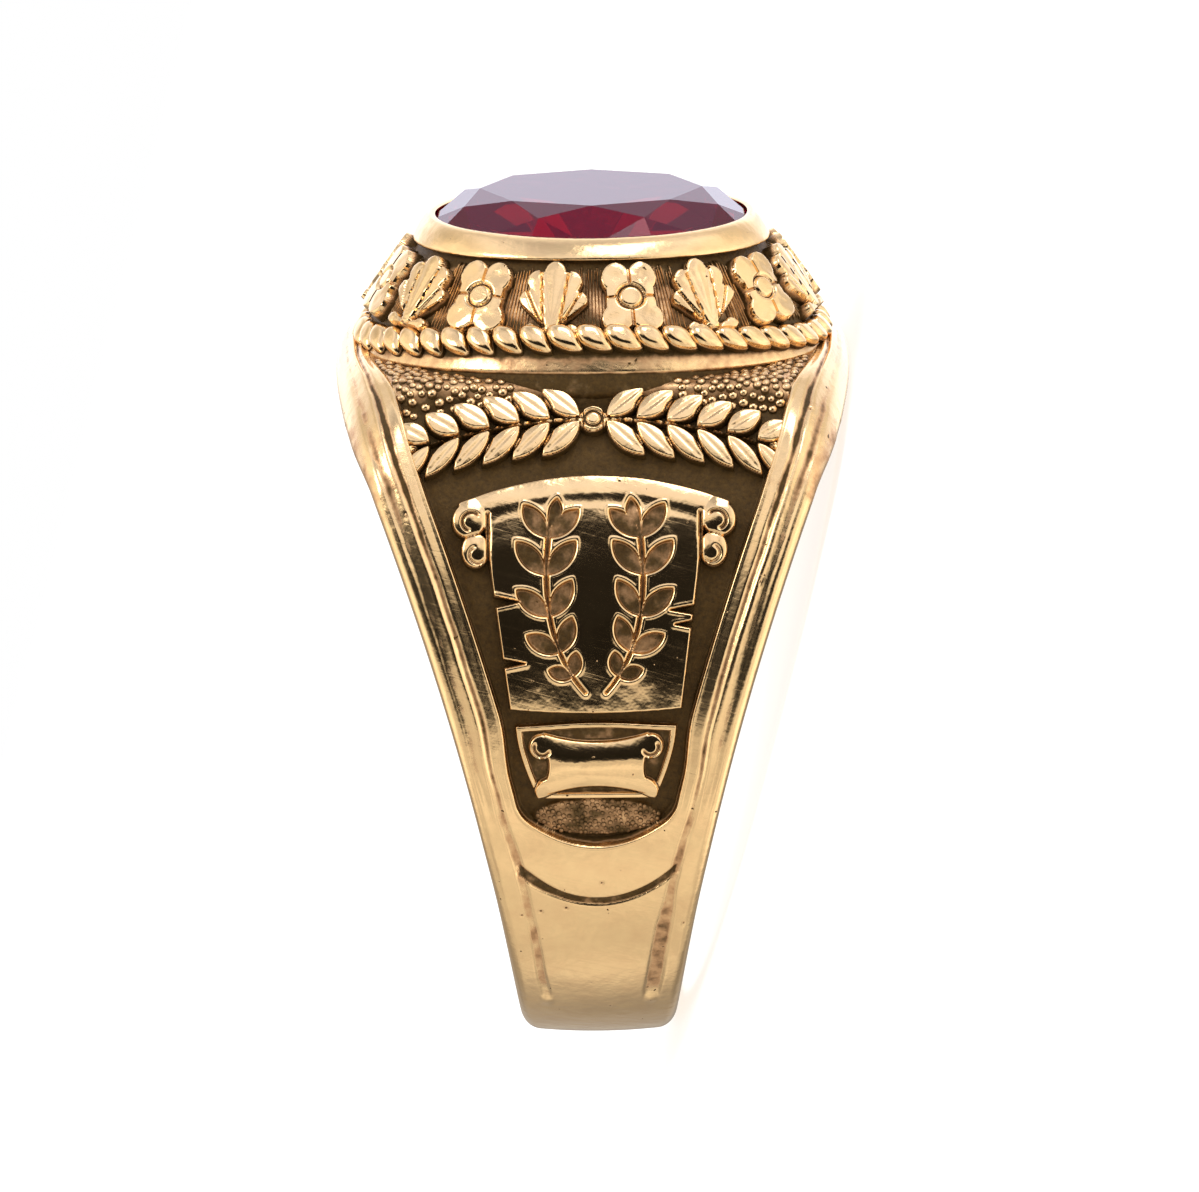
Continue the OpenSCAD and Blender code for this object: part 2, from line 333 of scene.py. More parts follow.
def make_object(name, points, faces, patina, material):
    """A smooth-shaded object from points in millimetres, with how much oxide each point holds."""
    mesh = bpy.data.meshes.new(name)
    mesh.from_pydata(points.reshape(-1, 3).tolist(), [], faces)
    mesh.validate()
    layer = mesh.attributes.new("patina", "FLOAT", "POINT")
    layer.data.foreach_set("value", np.ascontiguousarray(patina.reshape(-1), np.float32))
    mesh.polygons.foreach_set("use_smooth", [True] * len(mesh.polygons))
    mesh.set_sharp_from_angle(angle=math.radians(80))
    mesh.materials.append(material)
    obj = bpy.data.objects.new(name, mesh)
    bpy.context.scene.collection.objects.link(obj)
    return obj


def place(obj):
    """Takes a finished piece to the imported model's frame and fixes it to the ring."""
    obj.data.transform(to_row())
    obj.data.update()
    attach(obj, BODY)
    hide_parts(CAST_NODE)


def grid_faces(rows, cols, flip, first=0, closed=False):
    """Quads over a grid of points stored row by row."""
    i, j = np.meshgrid(np.arange(rows - 1), np.arange(cols if closed else cols - 1), indexing="ij")
    k = (j + 1) % cols
    quads = np.stack([i * cols + j, i * cols + k, (i + 1) * cols + k, (i + 1) * cols + j], axis=-1)
    quads = quads.reshape(-1, 4) + first
    return (quads[:, ::-1] if flip else quads).tolist()


def rim_of(rows, cols):
    """The points round the edge of a grid, in order."""
    grid = np.arange(rows * cols).reshape(rows, cols)
    return np.concatenate([grid[0], grid[1:, -1], grid[-1, -2::-1], grid[-2:0:-1, 0]]).tolist()


def skirt(rim, ring, flip=False):
    """Quads from a rim down to a ring of as many points."""
    pairs = list(zip(rim, ring))
    quads = [[b, a, c, d] for (a, c), (b, d) in zip(pairs, pairs[1:] + pairs[:1])]
    return [quad[::-1] for quad in quads] if flip else quads


def relief_solid(name, z, f, s, h, patina, side, material, depth):
    """A closed piece on the shoulder: relief on top, a skirt and a foot hidden in the metal."""
    rim, total = rim_of(*f.shape), f.size
    count = len(rim)
    top = on_shoulder(z, f, s, h, side).reshape(-1, 3)
    low = on_shoulder(z, f.reshape(-1)[rim], s.reshape(-1)[rim], np.full(count, -depth), side)
    middle = on_shoulder(z, *(np.array([v]) for v in (f.mean(), s.mean(), -depth - 0.3)), side)
    ring = list(range(total, total + count))
    foot = [[b, a, total + count] for a, b in zip(ring, ring[1:] + ring[:1])]
    faces = grid_faces(*f.shape, side < 0) + skirt(rim, ring, side < 0)
    faces += [face[::-1] for face in foot] if side < 0 else foot
    stain = np.concatenate([patina.reshape(-1), np.ones(count + 1)])
    points = np.concatenate([top, low, middle])
    place(make_object(name, points, faces, stain, material))


MATH, RANGE, MIX = "ShaderNodeMath", "ShaderNodeMapRange", "ShaderNodeMix"
NOISE, BUMP, WHERE = "ShaderNodeTexNoise", "ShaderNodeBump", "ShaderNodeTexCoord"


def feed(node, inputs):
    """Sets a node's inputs. A node or an output among the values is linked to."""
    for socket, value in inputs.items():
        if isinstance(value, bpy.types.Node):
            value = next(out for out in value.outputs if out.enabled)
        if isinstance(value, bpy.types.NodeSocket):
            node.id_data.links.new(value, node.inputs[socket])
        else:
            node.inputs[socket].default_value = value
    return node


def add_node(tree, kind, inputs=(), **settings):
    """Adds a node with its settings and inputs."""
    node = tree.nodes.new(kind)
    for name, value in settings.items():
        setattr(node, name, value)
    return feed(node, dict(inputs))


def new_material(name):
    """A new material with its node tree and its shader."""
    material = bpy.data.materials.new(name)
    material.use_nodes = True
    return material, material.node_tree, material.node_tree.nodes["Principled BSDF"]


def cast_gold(name, look, polish, scratch, seed):
    """10 karat yellow gold, cast and polished: warm clear reflections on the high spots, hairline
    scratches from wear, and brown to olive oxide where the patina attribute says it is sunk."""
    material, tree, shader = new_material(name)
    where = add_node(tree, WHERE).outputs["Object"]
    stain = add_node(tree, "ShaderNodeAttribute", attribute_name="patina").outputs["Fac"]
    blotch, pores, speck, wave, dents = (
        add_node(tree, NOISE, {
            "Vector": where, "Scale": per_mm / MM, "Detail": detail, "Roughness": rough,
        })
        for per_mm, detail, rough in (
            (1.6, 4.0, 0.6),  # blotches about half a millimetre wide
            (4.5, 1.0, 0.5),  # pin-prick casting pits, about 0.08 mm across
            (6.5, 5.0, 0.7),  # speckle of about 0.15 mm
            (0.9, 2.0, 0.5),  # slow waves left by the polishing wheel
            (3.0, 2.0, 0.5),  # small dents
        )
    )
    gold_rgba, warm_rgba, russet_rgba, patina_rgba, olive_rgba = (
        (*tone, 1) for tone in (look.gold, look.warm, look.russet, look.patina, look.olive)
    )

    # Blotches break up the edge of the oxide, and the casting pits hold it too
    spread = add_node(tree, MATH, {0: blotch, 1: 0.7, 2: -0.35}, operation="MULTIPLY_ADD")
    pit = add_node(tree, RANGE, {"Value": pores, "From Min": 0.76, "From Max": 0.81})
    held = add_node(tree, MATH, {0: stain, 1: pit}, operation="ADD")
    held = add_node(tree, MATH, {0: held, 1: spread}, operation="ADD")
    held = add_node(
        tree, RANGE, {"Value": held, "From Min": 0.25, "From Max": 0.75},
        interpolation_type="SMOOTHSTEP",
    )
    # Thick oxide is speckled olive to near black, a thin film of it looks russet, and skin oils
    # and wear leave the polish unevenly warm
    thick = add_node(tree, RANGE, {"Value": held, "From Min": 0.5, "From Max": 0.95})
    worn = add_node(
        tree, RANGE, {"Value": blotch, "From Min": 0.35, "From Max": 0.75, "To Max": 0.45}
    )
    oxide, polished = (
        add_node(tree, MIX, {"Factor": factor, "A": a, "B": b}, data_type="RGBA")
        for factor, a, b in ((speck, patina_rgba, olive_rgba), (worn, gold_rgba, warm_rgba))
    )
    film = add_node(tree, MIX, {"Factor": thick, "A": russet_rgba, "B": oxide}, data_type="RGBA")
    tint = add_node(tree, MIX, {"Factor": held, "A": polished, "B": film}, data_type="RGBA")

    # Hairline scratches: noise stretched 40 to 1 in three directions, 0.03 mm apart
    lines = None
    for degrees in (20, 75, 140):
        stretch = add_node(tree, "ShaderNodeMapping", {
            "Vector": where, "Rotation": (0.3, math.radians(degrees), 0.2 + seed),
            "Scale": (14 / MM, 0.35 / MM, 0.35 / MM),
        })
        line = add_node(tree, NOISE, {"Vector": stretch, "Scale": 1.0, "Detail": 2.0})
        thin = add_node(tree, RANGE, {"Value": line, "From Min": 0.62, "From Max": 0.72})
        lines = add_node(tree, MATH, {0: lines, 1: thin}, operation="MAXIMUM") if lines else thin

    # The oxide is a dull skin, so it is less metallic and rougher than the polished metal
    metal = add_node(tree, RANGE, {"Value": held, "To Min": 1.0, "To Max": 0.6})
    rough = add_node(tree, RANGE, {"Value": held, "To Min": polish, "To Max": 0.55})
    scuffed = add_node(
        tree, MATH, {0: lines, 1: 0.10 * scratch, 2: rough}, operation="MULTIPLY_ADD"
    )

    # Relief too fine for the mesh: waves of the polish, dents, scratches, then the oxide's grain
    grain = add_node(tree, MATH, {0: speck, 1: held}, operation="MULTIPLY")
    relief = {}
    for height, deep_mm, strength, inward in (
        (wave, 0.016, 1.0, False), (dents, 0.006 * (1 + 2 * scratch), 1.0, False),
        (lines, 0.0016, scratch, True), (grain, 0.03, 1.0, False),
    ):
        inputs = {"Height": height, "Distance": deep_mm * MM, "Strength": strength, **relief}
        relief = {"Normal": add_node(tree, BUMP, inputs, invert=inward)}
    feed(shader, {"Base Color": tint, "Metallic": metal, "Roughness": scuffed, **relief})
    return material


def gold(look, kind):
    """The ring's two finishes of the one metal, made once each."""
    name, polish, scratch, seed = {
        "worn": ("Cast_gold_worn", 0.2, 0.5, 0.0),
        "bright": ("Cast_gold_polished", 0.13, 0.4, 0.4),
    }[kind]
    return bpy.data.materials.get(name) or cast_gold(name, look, polish, scratch, seed)


# Along the side view, in mm from the level of the finger: the panel's curved foot, the middle
# of its stippled bed, the curved line across the hoop, and the ends of the shank's grooves
PANEL_FOOT, BED, CURVED_LINE, GROOVE_END = -2.62, -1.72, -4.69, -9.9

# Casting pits on the hoop: place along the finger, place along the side view, radius, in mm
CASTING_PITS = (
    (0.13, -3.95, 0.05), (-1.0, -4.95, 0.06), (-1.8, -5.1, 0.06), (-2.4, -5.3, 0.05),
    (2.7, -5.75, 0.05), (6.85, 12.0, 0.07), (-5.9, 8.1, 0.05), (5.2, 5.9, 0.04),
)


def panel_sd(z, f, s):
    """Signed distance to the sunk panel, negative inside, whose sides blend into its foot."""
    sides = np.abs(f) - (row_width(z, s) - rail_width(z, s))
    foot = PANEL_FOOT + 0.95 * (f / 2.3) ** 2 - s
    k = 0.25
    blend = np.clip(0.5 + 0.5 * (sides - foot) / k, 0, 1)
    return foot + (sides - foot) * blend + k * blend * (1 - blend)


def hoop_relief(z, f, s):
    """Height and oxide of the hoop's outside: edges, rail lines, sunk panel, and the shank."""
    edge = row_width(z, s) - np.abs(f)
    d = edge * z.rail_w / rail_width(z, s)
    r = edge_round(z, s)
    h = -(r - np.sqrt(np.maximum(r * r - np.clip(r - edge, 0, r) ** 2, 0)))
    stain = np.zeros_like(h)

    # Lines down each rail, worn uneven: a soft hollow, a crest and the groove beside it
    upper = ease(-2.6, 0.6, s)
    uneven = d + 0.035 * ripple(0.4 * f, s, 2.0, 14)
    for inward, half, rise in ((0.54, 0.20, -0.04), (0.85, 0.15, 0.04), (1.08, 0.15, -0.08)):
        h += rise * hump(uneven, inward, half) * upper
    h -= 0.08 * ease(1.12, 1.65, d) * upper
    stain += (0.36 * hump(uneven, 0.56, 0.17) + 0.62 * hump(uneven, 1.08, 0.16)) * upper
    # Lower down only one broad shallow groove is left, reddish with thin oxide and wider on
    # the right, and it ends in a small bump
    right = ease(-0.4, 0.4, f) * ease(-4.0, -6.0, s)
    trough = ease(0.0, 0.6, hump(uneven, 1.0, 0.20 + 0.16 * right))
    trough *= ease(-10.2, -8.9, s) * (1 - upper)
    h -= (0.05 + 0.03 * right) * trough
    stain += (0.46 + 0.08 * right) * trough
    h += 0.04 * hump(np.hypot((d - 1.0) / 0.3, (s - GROOVE_END) / 0.45), 0.0, 1.0)

    # A brownish film is painted over the shoulders' upper parts, strongest at their outer edges
    shoulder = ease(6.5, 9.0, s) * (1 - ease(12.0, 14.0, s))
    stain += shoulder * (0.22 + 0.16 * ripple(f, s, 1.7, 17) + 0.25 * hump(d, 0.0, 0.4))

    # The sunk panel, less stained where the wear reaches it under the head
    sd = panel_sd(z, f, s)
    sunk = ease(0.0, 0.11, -sd)
    h = h * (1 - sunk) - floor_depth(z, s) * sunk + 0.03 * hump(sd, 0.05, 0.06)
    corner_worn = 0.5 * ease(z.s_corner - 0.7, z.s_corner + 0.3, s)
    stain = np.maximum(stain, ease(0.02, 0.09, -sd) * (1 - corner_worn))
    h += (0.02 * ripple(f, s, 0.9, 4) + 0.012 * ripple(f, s, 0.4, 15)) * sunk
    # A raised bed, shaped like a lens, carries the stipple at the foot of the panel
    bed = ease(0.0, 0.10, 1 - np.hypot(f / 2.12, (s - BED) / 0.68)) * (sd < -0.1)
    h += 0.14 * bed
    stain = stain - 0.42 * bed

    # The curved line across the hoop below the panel, wider at its left end
    line = CURVED_LINE + 1.24 * (f / 2.5) ** 2
    half = 0.20 + 0.13 * ease(1.0, 2.4, -f) + 0.04 * ease(1.6, 2.5, f)
    groove = ease(0.0, 0.45, hump(s - line, 0.0, half)) * ease(0.0, 0.12, 2.56 - np.abs(f))
    h -= 0.11 * groove
    stain = np.maximum(stain, 0.72 * groove)
    for pit_f, pit_s, radius in CASTING_PITS:
        pit = hump(np.hypot(f - pit_f, s - pit_s), 0.0, radius * 1.6)
        h -= 0.05 * pit
        stain = np.maximum(stain, 0.8 * pit)
    # The shank is slightly crowned across, and all of it is worn a little uneven
    h -= 0.15 * (f / row_width(z, s)) ** 2 * ease(-2.2, -6.0, s)
    h += 0.008 * ripple(f, s, 2.4, 8)
    return h, np.clip(stain, 0, 1)


def spaced(stops):
    """Positions along a line: stops are (from, step) pairs and the last one ends it."""
    out = []
    for (a, step), (b, _) in zip(stops[:-1], stops[1:]):
        out.append(np.linspace(a, b, max(2, round((b - a) / step) + 1))[:-1])
    return np.concatenate(out + [np.array([stops[-1][0]])])


def build_hoop(z, side, name, coarse, material):
    """One half of the hoop as a closed solid: relief outside, flat walls and the hole inside."""
    s = spaced([
        (z.s_back, 0.03), (z.s_back + 0.15, 0.22), (-10.2, 0.14), (-5.6, 0.042 * coarse),
        (-2.9, 0.035 * coarse), (-1.2, 0.10 * coarse), (z.s_corner - 0.5, 0.07 * coarse),
        (z.s_flat, 0.12), (z.s_flat + 3.0, 0.3), (z.s_top, 0),
    ])
    # Across: distances in from the edge over each rail, then even shares of the panel
    rail = spaced([(0.0, 0.035), (0.6, 0.045), (1.2, 0.04), (z.rail_w + 0.16, 0)])
    share = np.linspace(0, 1, 66)[1:-1]
    f = np.array([
        np.concatenate([rail - half, (half - rail[-1]) * (2 * share - 1), half - rail[::-1]])
        for half in row_width(z, s)
    ])
    ss = np.repeat(s[:, None], f.shape[1], axis=1)
    h, stain = hoop_relief(z, f, ss)
    outer = on_shoulder(z, f, ss, h, side)

    # Side walls and the hole: the finger side runs round a circle in step with the outside
    turn = np.where(s > 0, s * (math.pi / 2) / z.s_top, s / z.back_r)
    hole_n, hole_u = BORE_R * np.cos(turn), BORE_R * np.sin(turn)
    hole_edge = 0.16
    walls = []
    for inward, rounding in ((0.12, 0), (0.35, 0), (0.65, 0), (0.9, 0.3), (1.0, 1)):
        n = -side * outer[:, -1, 1] * (1 - inward) + hole_n * inward
        u = outer[:, -1, 2] * (1 - inward) + hole_u * inward
        walls.append(np.stack([half_width(z, u) - hole_edge * rounding, -side * n, u], axis=-1))
    hole_half = half_width(z, hole_u) - hole_edge
    hole = [
        np.stack([hole_half * q, -side * hole_n, hole_u], axis=-1)
        for q in np.linspace(1, -1, 13)[1:-1]
    ]
    left = [wall * np.array([-1, 1, 1]) for wall in walls[::-1]]
    loop = np.concatenate([outer, np.stack(walls + hole + left, axis=1)], axis=1)
    rows, cols = loop.shape[:2]
    stain = np.pad(stain, ((0, 0), (0, cols - f.shape[1])))
    faces = grid_faces(rows, cols, side < 0, closed=True)
    foot, top = list(range(cols)), list(range((rows - 1) * cols, rows * cols))
    faces += [foot[::-1], top] if side > 0 else [foot, top[::-1]]
    place(make_object(name, loop, faces, stain, material))


class RING_OT_hoop(Operator):
    """Cast the hoop: rails, sunk panels, grooves and finger hole, one solid for each half"""

    bl_idname = "ring.hoop"
    bl_label = "Hoop"

    def execute(self, context):
        z = read_sizes(context)
        finish = gold(context.scene.ring_gold, "worn")
        for side, name, coarse in ((1, "hoop_near", 1.0), (-1, "hoop_far", 1.4)):
            build_hoop(z, side, name, coarse, finish)
        return {"FINISHED"}


# The plate on each shoulder: an arched rolled top, scrolled ends and a tapering body
PLATE_TOP, PLATE_ARCH, PLATE_HALF, PLATE_FOOT = 9.54, 0.97, 4.42, 1.72


def plume_sd(x, y):
    """A laurel branch that bends outward, drawn for the right half of the plate."""
    stem = bezier((0.32, 2.45), (2.0, 4.3), (1.32, 8.35), 25)
    body = stroke_sd(x, y, stem, np.linspace(0.07, 0.12, 25))
    for i, long in ((3, 0.85), (7, 1.25), (12, 1.42), (17, 1.5), (21, 1.4)):
        heading = math.degrees(math.atan2(*(stem[i + 1] - stem[i - 1])))
        for way in (1, -1):
            turn = -heading - way * 40
            c, s = math.cos(math.radians(turn)), math.sin(math.radians(turn))
            x0, y0 = stem[i][0] - s * long * 0.5, stem[i][1] + c * long * 0.5
            body = np.minimum(body, lancet(*turned(x, y, x0, y0, turn), long, 0.25 + 0.29 * long))
    return np.minimum(body, lancet(*turned(x, y, 1.22, 8.2, 8), 1.1, 0.5))


def plate_half(s):
    """Half the width of the plate's tapering body."""
    return 2.73 + 0.132 * (s - PLATE_FOOT)


def buried(z):
    """How deep a raised piece's rim goes, a little under the sunk panel's floor."""
    return z.panel_d + 0.18


# Torn slits in the plate's edges, two on the left and a double one on the right: from and to
# along the finger, place along the side view, half width, in mm
SLITS = (
    (-3.5, -2.35, 5.36, 0.14), (-3.4, -2.2, 3.40, 0.12),
    (3.5, 2.35, 5.06, 0.10), (3.5, 2.5, 4.60, 0.09),
)


def plate_relief(z, f, s):
    """Height and oxide of the shoulder plate: rolled top, scrolled ends, slits and branches."""
    top = PLATE_TOP - PLATE_ARCH * (f / PLATE_HALF) ** 2
    a = np.abs(f)
    foot = PLATE_FOOT + 0.14 * (f / 2.7) ** 2
    body = np.maximum(np.maximum(a - plate_half(s), foot - s), s - top)
    upper = np.maximum(np.maximum(a - 4.34, 7.9 - s), s - top)
    big = (np.hypot((a - 3.93) / 0.60, (s - 7.98) / 0.66) - 1) * 0.62
    small = (np.hypot((a - 3.74) / 0.50, (s - 7.02) / 0.66) - 1) * 0.58
    sd = np.minimum(np.minimum(body, upper), np.minimum(big, small))
    slit = np.minimum.reduce([wedge_sd(f, s, *row) for row in SLITS])
    sd = np.maximum(sd, -slit)
    inside = ease(0.0, 0.11, -sd)
    roll = top - s
    h = -0.09 - 0.10 * np.clip(1 - roll / 0.8, 0, 1) ** 2 + 0.026 * ripple(f, s, 2.2, 21)
    h -= 0.016 * hump(roll, 0.95, 0.28) * ease(0.0, 0.5, 3.5 - a) - 0.02 * hump(slit, 0.15, 0.12)
    # The scrolled ends are two rounded lobes, the upper one with a curl cut into it
    lobes = ease(3.2, 3.4, a)
    big_r, small_r = np.clip(big / 0.62 + 1, 0, 1.4), np.clip(small / 0.58 + 1, 0, 1.4)
    lump = np.where(big < small, 0.02 - 0.13 * big_r**2, -0.02 - 0.13 * small_r**2)
    lump = np.where((s > 8.25) & (a < 4.3), np.maximum(lump, h), lump)
    h = h * (1 - lobes) + lump * lobes
    curl = hump(np.hypot(a - 3.84, s - 7.92), 0.30, 0.08) * lobes
    curl *= ease(-0.12, 0.05, (a - 3.80) + 0.6 * (s - 7.9))
    tail = 0.7 * hump(np.hypot(a - 3.66, s - 6.86), 0.27, 0.07) * lobes
    tail *= ease(-0.1, 0.08, (a - 3.62) - 0.8 * (s - 6.9))
    split = 0.4 * hump(big - small, 0.0, 0.10) * ease(3.25, 3.4, a)
    edge = hump(a, 3.34, 0.08) * ease(6.35, 6.6, s) * ease(0.0, 0.2, 8.35 - s)
    grooves = np.maximum.reduce([curl, tail, split, edge])
    h -= 0.12 * grooves
    stain = np.maximum((1 - ease(0.05, 0.12, -sd)) * 0.95, 0.8 * grooves)
    # The branches are cut in and their floors hold a thinner, olive oxide
    plume = np.minimum(plume_sd(f, s), plume_sd(-f, s))
    h += 0.018 * hump(plume, 0.05, 0.06) - 0.20 * ease(0.0, 0.10, -plume)
    stain = np.maximum(stain, 0.66 * ease(0.02, 0.08, -plume))
    return h * inside - buried(z) * (1 - inside), np.clip(stain, 0, 1)


def plate_grid(step):
    """A grid whose columns lean with the plate's edges, so that the edges stay crisp."""
    s, u = spaced([(1.5, step), (9.75, 0)]), spaced([(-1.38, step / 3.34), (1.38, 0)])
    return u[None, :] * plate_half(s)[:, None], np.repeat(s[:, None], len(u), axis=1)


def even_grid(half, low, high, step):
    """An even grid along the finger and along the side view."""
    return np.meshgrid(spaced([(-half, step), (half, 0)]), spaced([(low, step), (high, 0)]))


def raise_pair(context, name, relief, grid, steps, depth):
    """Raises a relief on both shoulders, with a coarser grid on the far one, which shows less."""
    z, finish = read_sizes(context), gold(context.scene.ring_gold, "bright")
    for side, way, step in zip((1, -1), ("near", "far"), steps):
        f, s = grid(step)
        relief_solid(f"{name}_{way}", z, f, s, *relief(z, f, s), side, finish, depth)


class RING_OT_plates(Operator):
    """Raise the plate on each shoulder, with rolled top, scrolled ends and cut branches"""

    bl_idname = "ring.plates"
    bl_label = "Shoulder plates"

    def execute(self, context):
        raise_pair(context, "shoulder_plate", plate_relief, plate_grid, (0.031, 0.045), 1.1)
        return {"FINISHED"}


def cup_relief(z, f, s):
    """Height and oxide of the cup plate and the small scroll that lies across it."""
    a = np.abs(f)
    top = 1.50 + 0.06 * np.cos(f * 1.1)
    half = 1.76 + 0.84 * ease(-1.5, 1.5, s) ** 0.6
    cup = np.maximum(np.maximum(a - half, s - top), -1.10 - s)
    inside = ease(0.0, 0.10, -cup)
    lip = ease(0.0, 0.6, hump(cup, -0.15, 0.15))
    h = -0.38 * inside - buried(z) * (1 - inside) + 0.13 * lip
    stain = 0.70 - 0.70 * lip
    # The scroll: hollow top and bottom edges, lobed ends, rounded like a bolster
    high, low = 0.94 + 0.10 * f * f, -0.68 - 0.11 * f * f
    middle, reach = (high + low) / 2, (high - low) / 2
    waist = 1.70 - 0.14 * hump(s, 0.05, 0.75) + 0.03 * ripple(f, s, 0.9, 33)
    scroll = np.maximum(np.maximum(s - high, low - s), a - waist)
    upper = np.hypot((a - 1.72) * 1.05, s - 0.72) - 0.46
    lower = lancet(*turned(a, s, 1.62, -0.62, 38), 1.05, 0.62)
    scroll = np.minimum(np.minimum(scroll, upper), lower)
    on = ease(0.0, 0.11, -scroll)
    t = np.clip((s - middle) / reach, -1.1, 1.1)
    body = 0.02 - 0.26 * t * t - 0.05 * ease(1.3, 2.1, a) + 0.035 * ripple(f, s, 1.7, 35)
    curl = hump(np.hypot(a - 1.70, s - 0.70), 0.25, 0.08)
    curl *= ease(-0.15, 0.05, 0.66 - s + 0.5 * (a - 1.7))
    h = h * (1 - on) + np.maximum(body - 0.10 * curl, -0.34) * on
    scroll_stain = np.maximum((1 - ease(0.02, 0.08, -scroll)) * 0.9, 0.75 * curl)
    return h, np.clip(np.where(scroll < 0, scroll_stain, stain), 0, 1)


def cup_grid(step):
    """A grid over the cup plate and its scroll."""
    return even_grid(2.75, -1.3, 1.75, step)


class RING_OT_cups(Operator):
    """Raise the cup plate and the small scroll at the foot of each panel"""

    bl_idname = "ring.cups"
    bl_label = "Cup plates"

    def execute(self, context):
        raise_pair(context, "cup_plate", cup_relief, cup_grid, (0.028, 0.042), 1.1)
        return {"FINISHED"}


def leaf_row_relief(z, f, s):
    """Height and oxide of the laurel garland over the plate, its leaves in outward pairs."""
    y = s - (11.40 - 1.12 * (f / 6) ** 2)
    reach = 5.7
    sd = stroke_sd(f, y, [(-reach, 0.0), (0.0, 0.0), (reach, 0.0)], [0.08, 0.14, 0.08])
    sd = np.minimum(sd, np.hypot(f, y) - 0.52)
    veins = hump(np.hypot(f, y), 0.26, 0.09)
    for i, way_x, way_y in product(range(6), (1, -1), (1, -1)):
        small = 1 - 0.14 * (i / 5) ** 2
        long = 1.84 * small
        turn = -way_x * (90 - way_y * 43)
        c, w = math.cos(math.radians(turn)), math.sin(math.radians(turn))
        x0 = way_x * (0.34 + 0.95 * i)
        u, v = turned(f, y, x0 - w * long * 0.5, c * long * 0.5, turn)
        leaf = lancet(u, v, long, 0.90 * small)
        vein = 0.17 * hump(u, 0.0, 0.11) * ease(0.08, 0.26, -leaf)
        # A narrow valley parts each leaf from the one it overlaps
        valley = hump(leaf, 0.03, 0.05) * (sd < 0)
        veins = np.maximum.reduce([veins * (leaf > 0), vein, valley])
        sd = np.minimum(sd, leaf)
    sd = np.minimum(sd, lancet(y, np.abs(f) - 6.02, 1.3, 0.52))
    on = ease(0.0, 0.11, -sd)
    h = -0.12 - 0.12 * veins + 0.012 * ripple(f, s, 1.8, 31) + 0.025 * ease(0.05, 0.35, -sd)
    stain = np.maximum(1 - ease(0.05, 0.12, -sd), 0.95 * veins * (veins > 0.4))
    return h * on - buried(z) * (1 - on), np.clip(stain, 0, 1)


def leaf_row_grid(step):
    """A grid over the garland."""
    return even_grid(6.5, 8.9, 13.0, step)


class RING_OT_leaf_rows(Operator):
    """Raise the arched laurel garland above each plate"""

    bl_idname = "ring.leaf_rows"
    bl_label = "Leaf rows"

    def execute(self, context):
        raise_pair(context, "leaf_row", leaf_row_relief, leaf_row_grid, (0.036, 0.05), 1.0)
        return {"FINISHED"}


# Rings of the head from its foot to the seat under the stone: half length, half width,
# height at the ends, extra height at the sides, oxide
HEAD_RINGS = (
    # Foot and ledge
    (7.20, 6.50, 10.40, 0.10, 0.7), (7.45, 7.14, 10.90, 0.22, 0.7),
    (7.55, 6.98, 11.25, 0.42, 0.8), (7.58, 6.95, 11.28, 0.43, 0.8),
    (7.65, 7.02, 11.36, 0.44, 0.35), (7.59, 6.95, 11.48, 0.47, 0.38),
    (7.51, 6.86, 11.58, 0.56, 0.46), (7.44, 6.77, 11.62, 0.68, 0.75),
    # Hollow behind the rope border
    (7.38, 6.66, 11.64, 0.76, 0.8), (7.18, 6.46, 11.84, 0.90, 1.0),
    (7.12, 6.38, 12.05, 0.85, 1.0), (7.13, 6.36, 12.14, 0.58, 1.0),
    # Sloping band
    (6.92, 6.06, 12.74, 0.38, 0.62), (6.40, 5.60, 13.40, 0.35, 0.5),
    (5.88, 5.15, 14.07, 0.31, 0.6), (5.45, 4.80, 14.58, 0.27, 0.85),
    (5.40, 4.74, 14.66, 0.27, 1.0), (5.50, 4.82, 14.67, 0.27, 0.6),
    # Burnished rim
    (5.69, 4.96, 14.70, 0.25, 0.1), (5.73, 4.98, 14.80, 0.22, 0.0),
    (5.66, 4.88, 14.98, 0.17, 0.0), (5.55, 4.75, 15.17, 0.12, 0.0),
    (5.42, 4.60, 15.35, 0.07, 0.0), (5.30, 4.45, 15.48, 0.03, 0.0),
    (5.17, 4.30, 15.55, 0.00, 0.0), (5.05, 4.15, 15.54, 0.00, 0.0),
    # Seat under the stone
    (4.99, 4.05, 15.50, 0.00, 0.2), (5.28, 4.28, 15.27, 0.00, 0.4),
    (5.28, 4.28, 15.02, 0.00, 0.5), (3.29, 2.67, 13.22, 0.00, 0.6),
    (1.10, 0.90, 11.85, 0.00, 0.9),
)


def rounded_rings(rings, times):
    """The rings with every corner of their profile cut, so that the loft is smooth."""
    rings = np.array(rings, float)
    for _ in range(times):
        cut = np.empty((2 * len(rings), rings.shape[1]))
        cut[0], cut[-1] = rings[0], rings[-1]
        cut[1:-1:2] = rings[:-1] * 0.75 + rings[1:] * 0.25
        cut[2:-1:2] = rings[:-1] * 0.25 + rings[1:] * 0.75
        rings = cut
    return rings


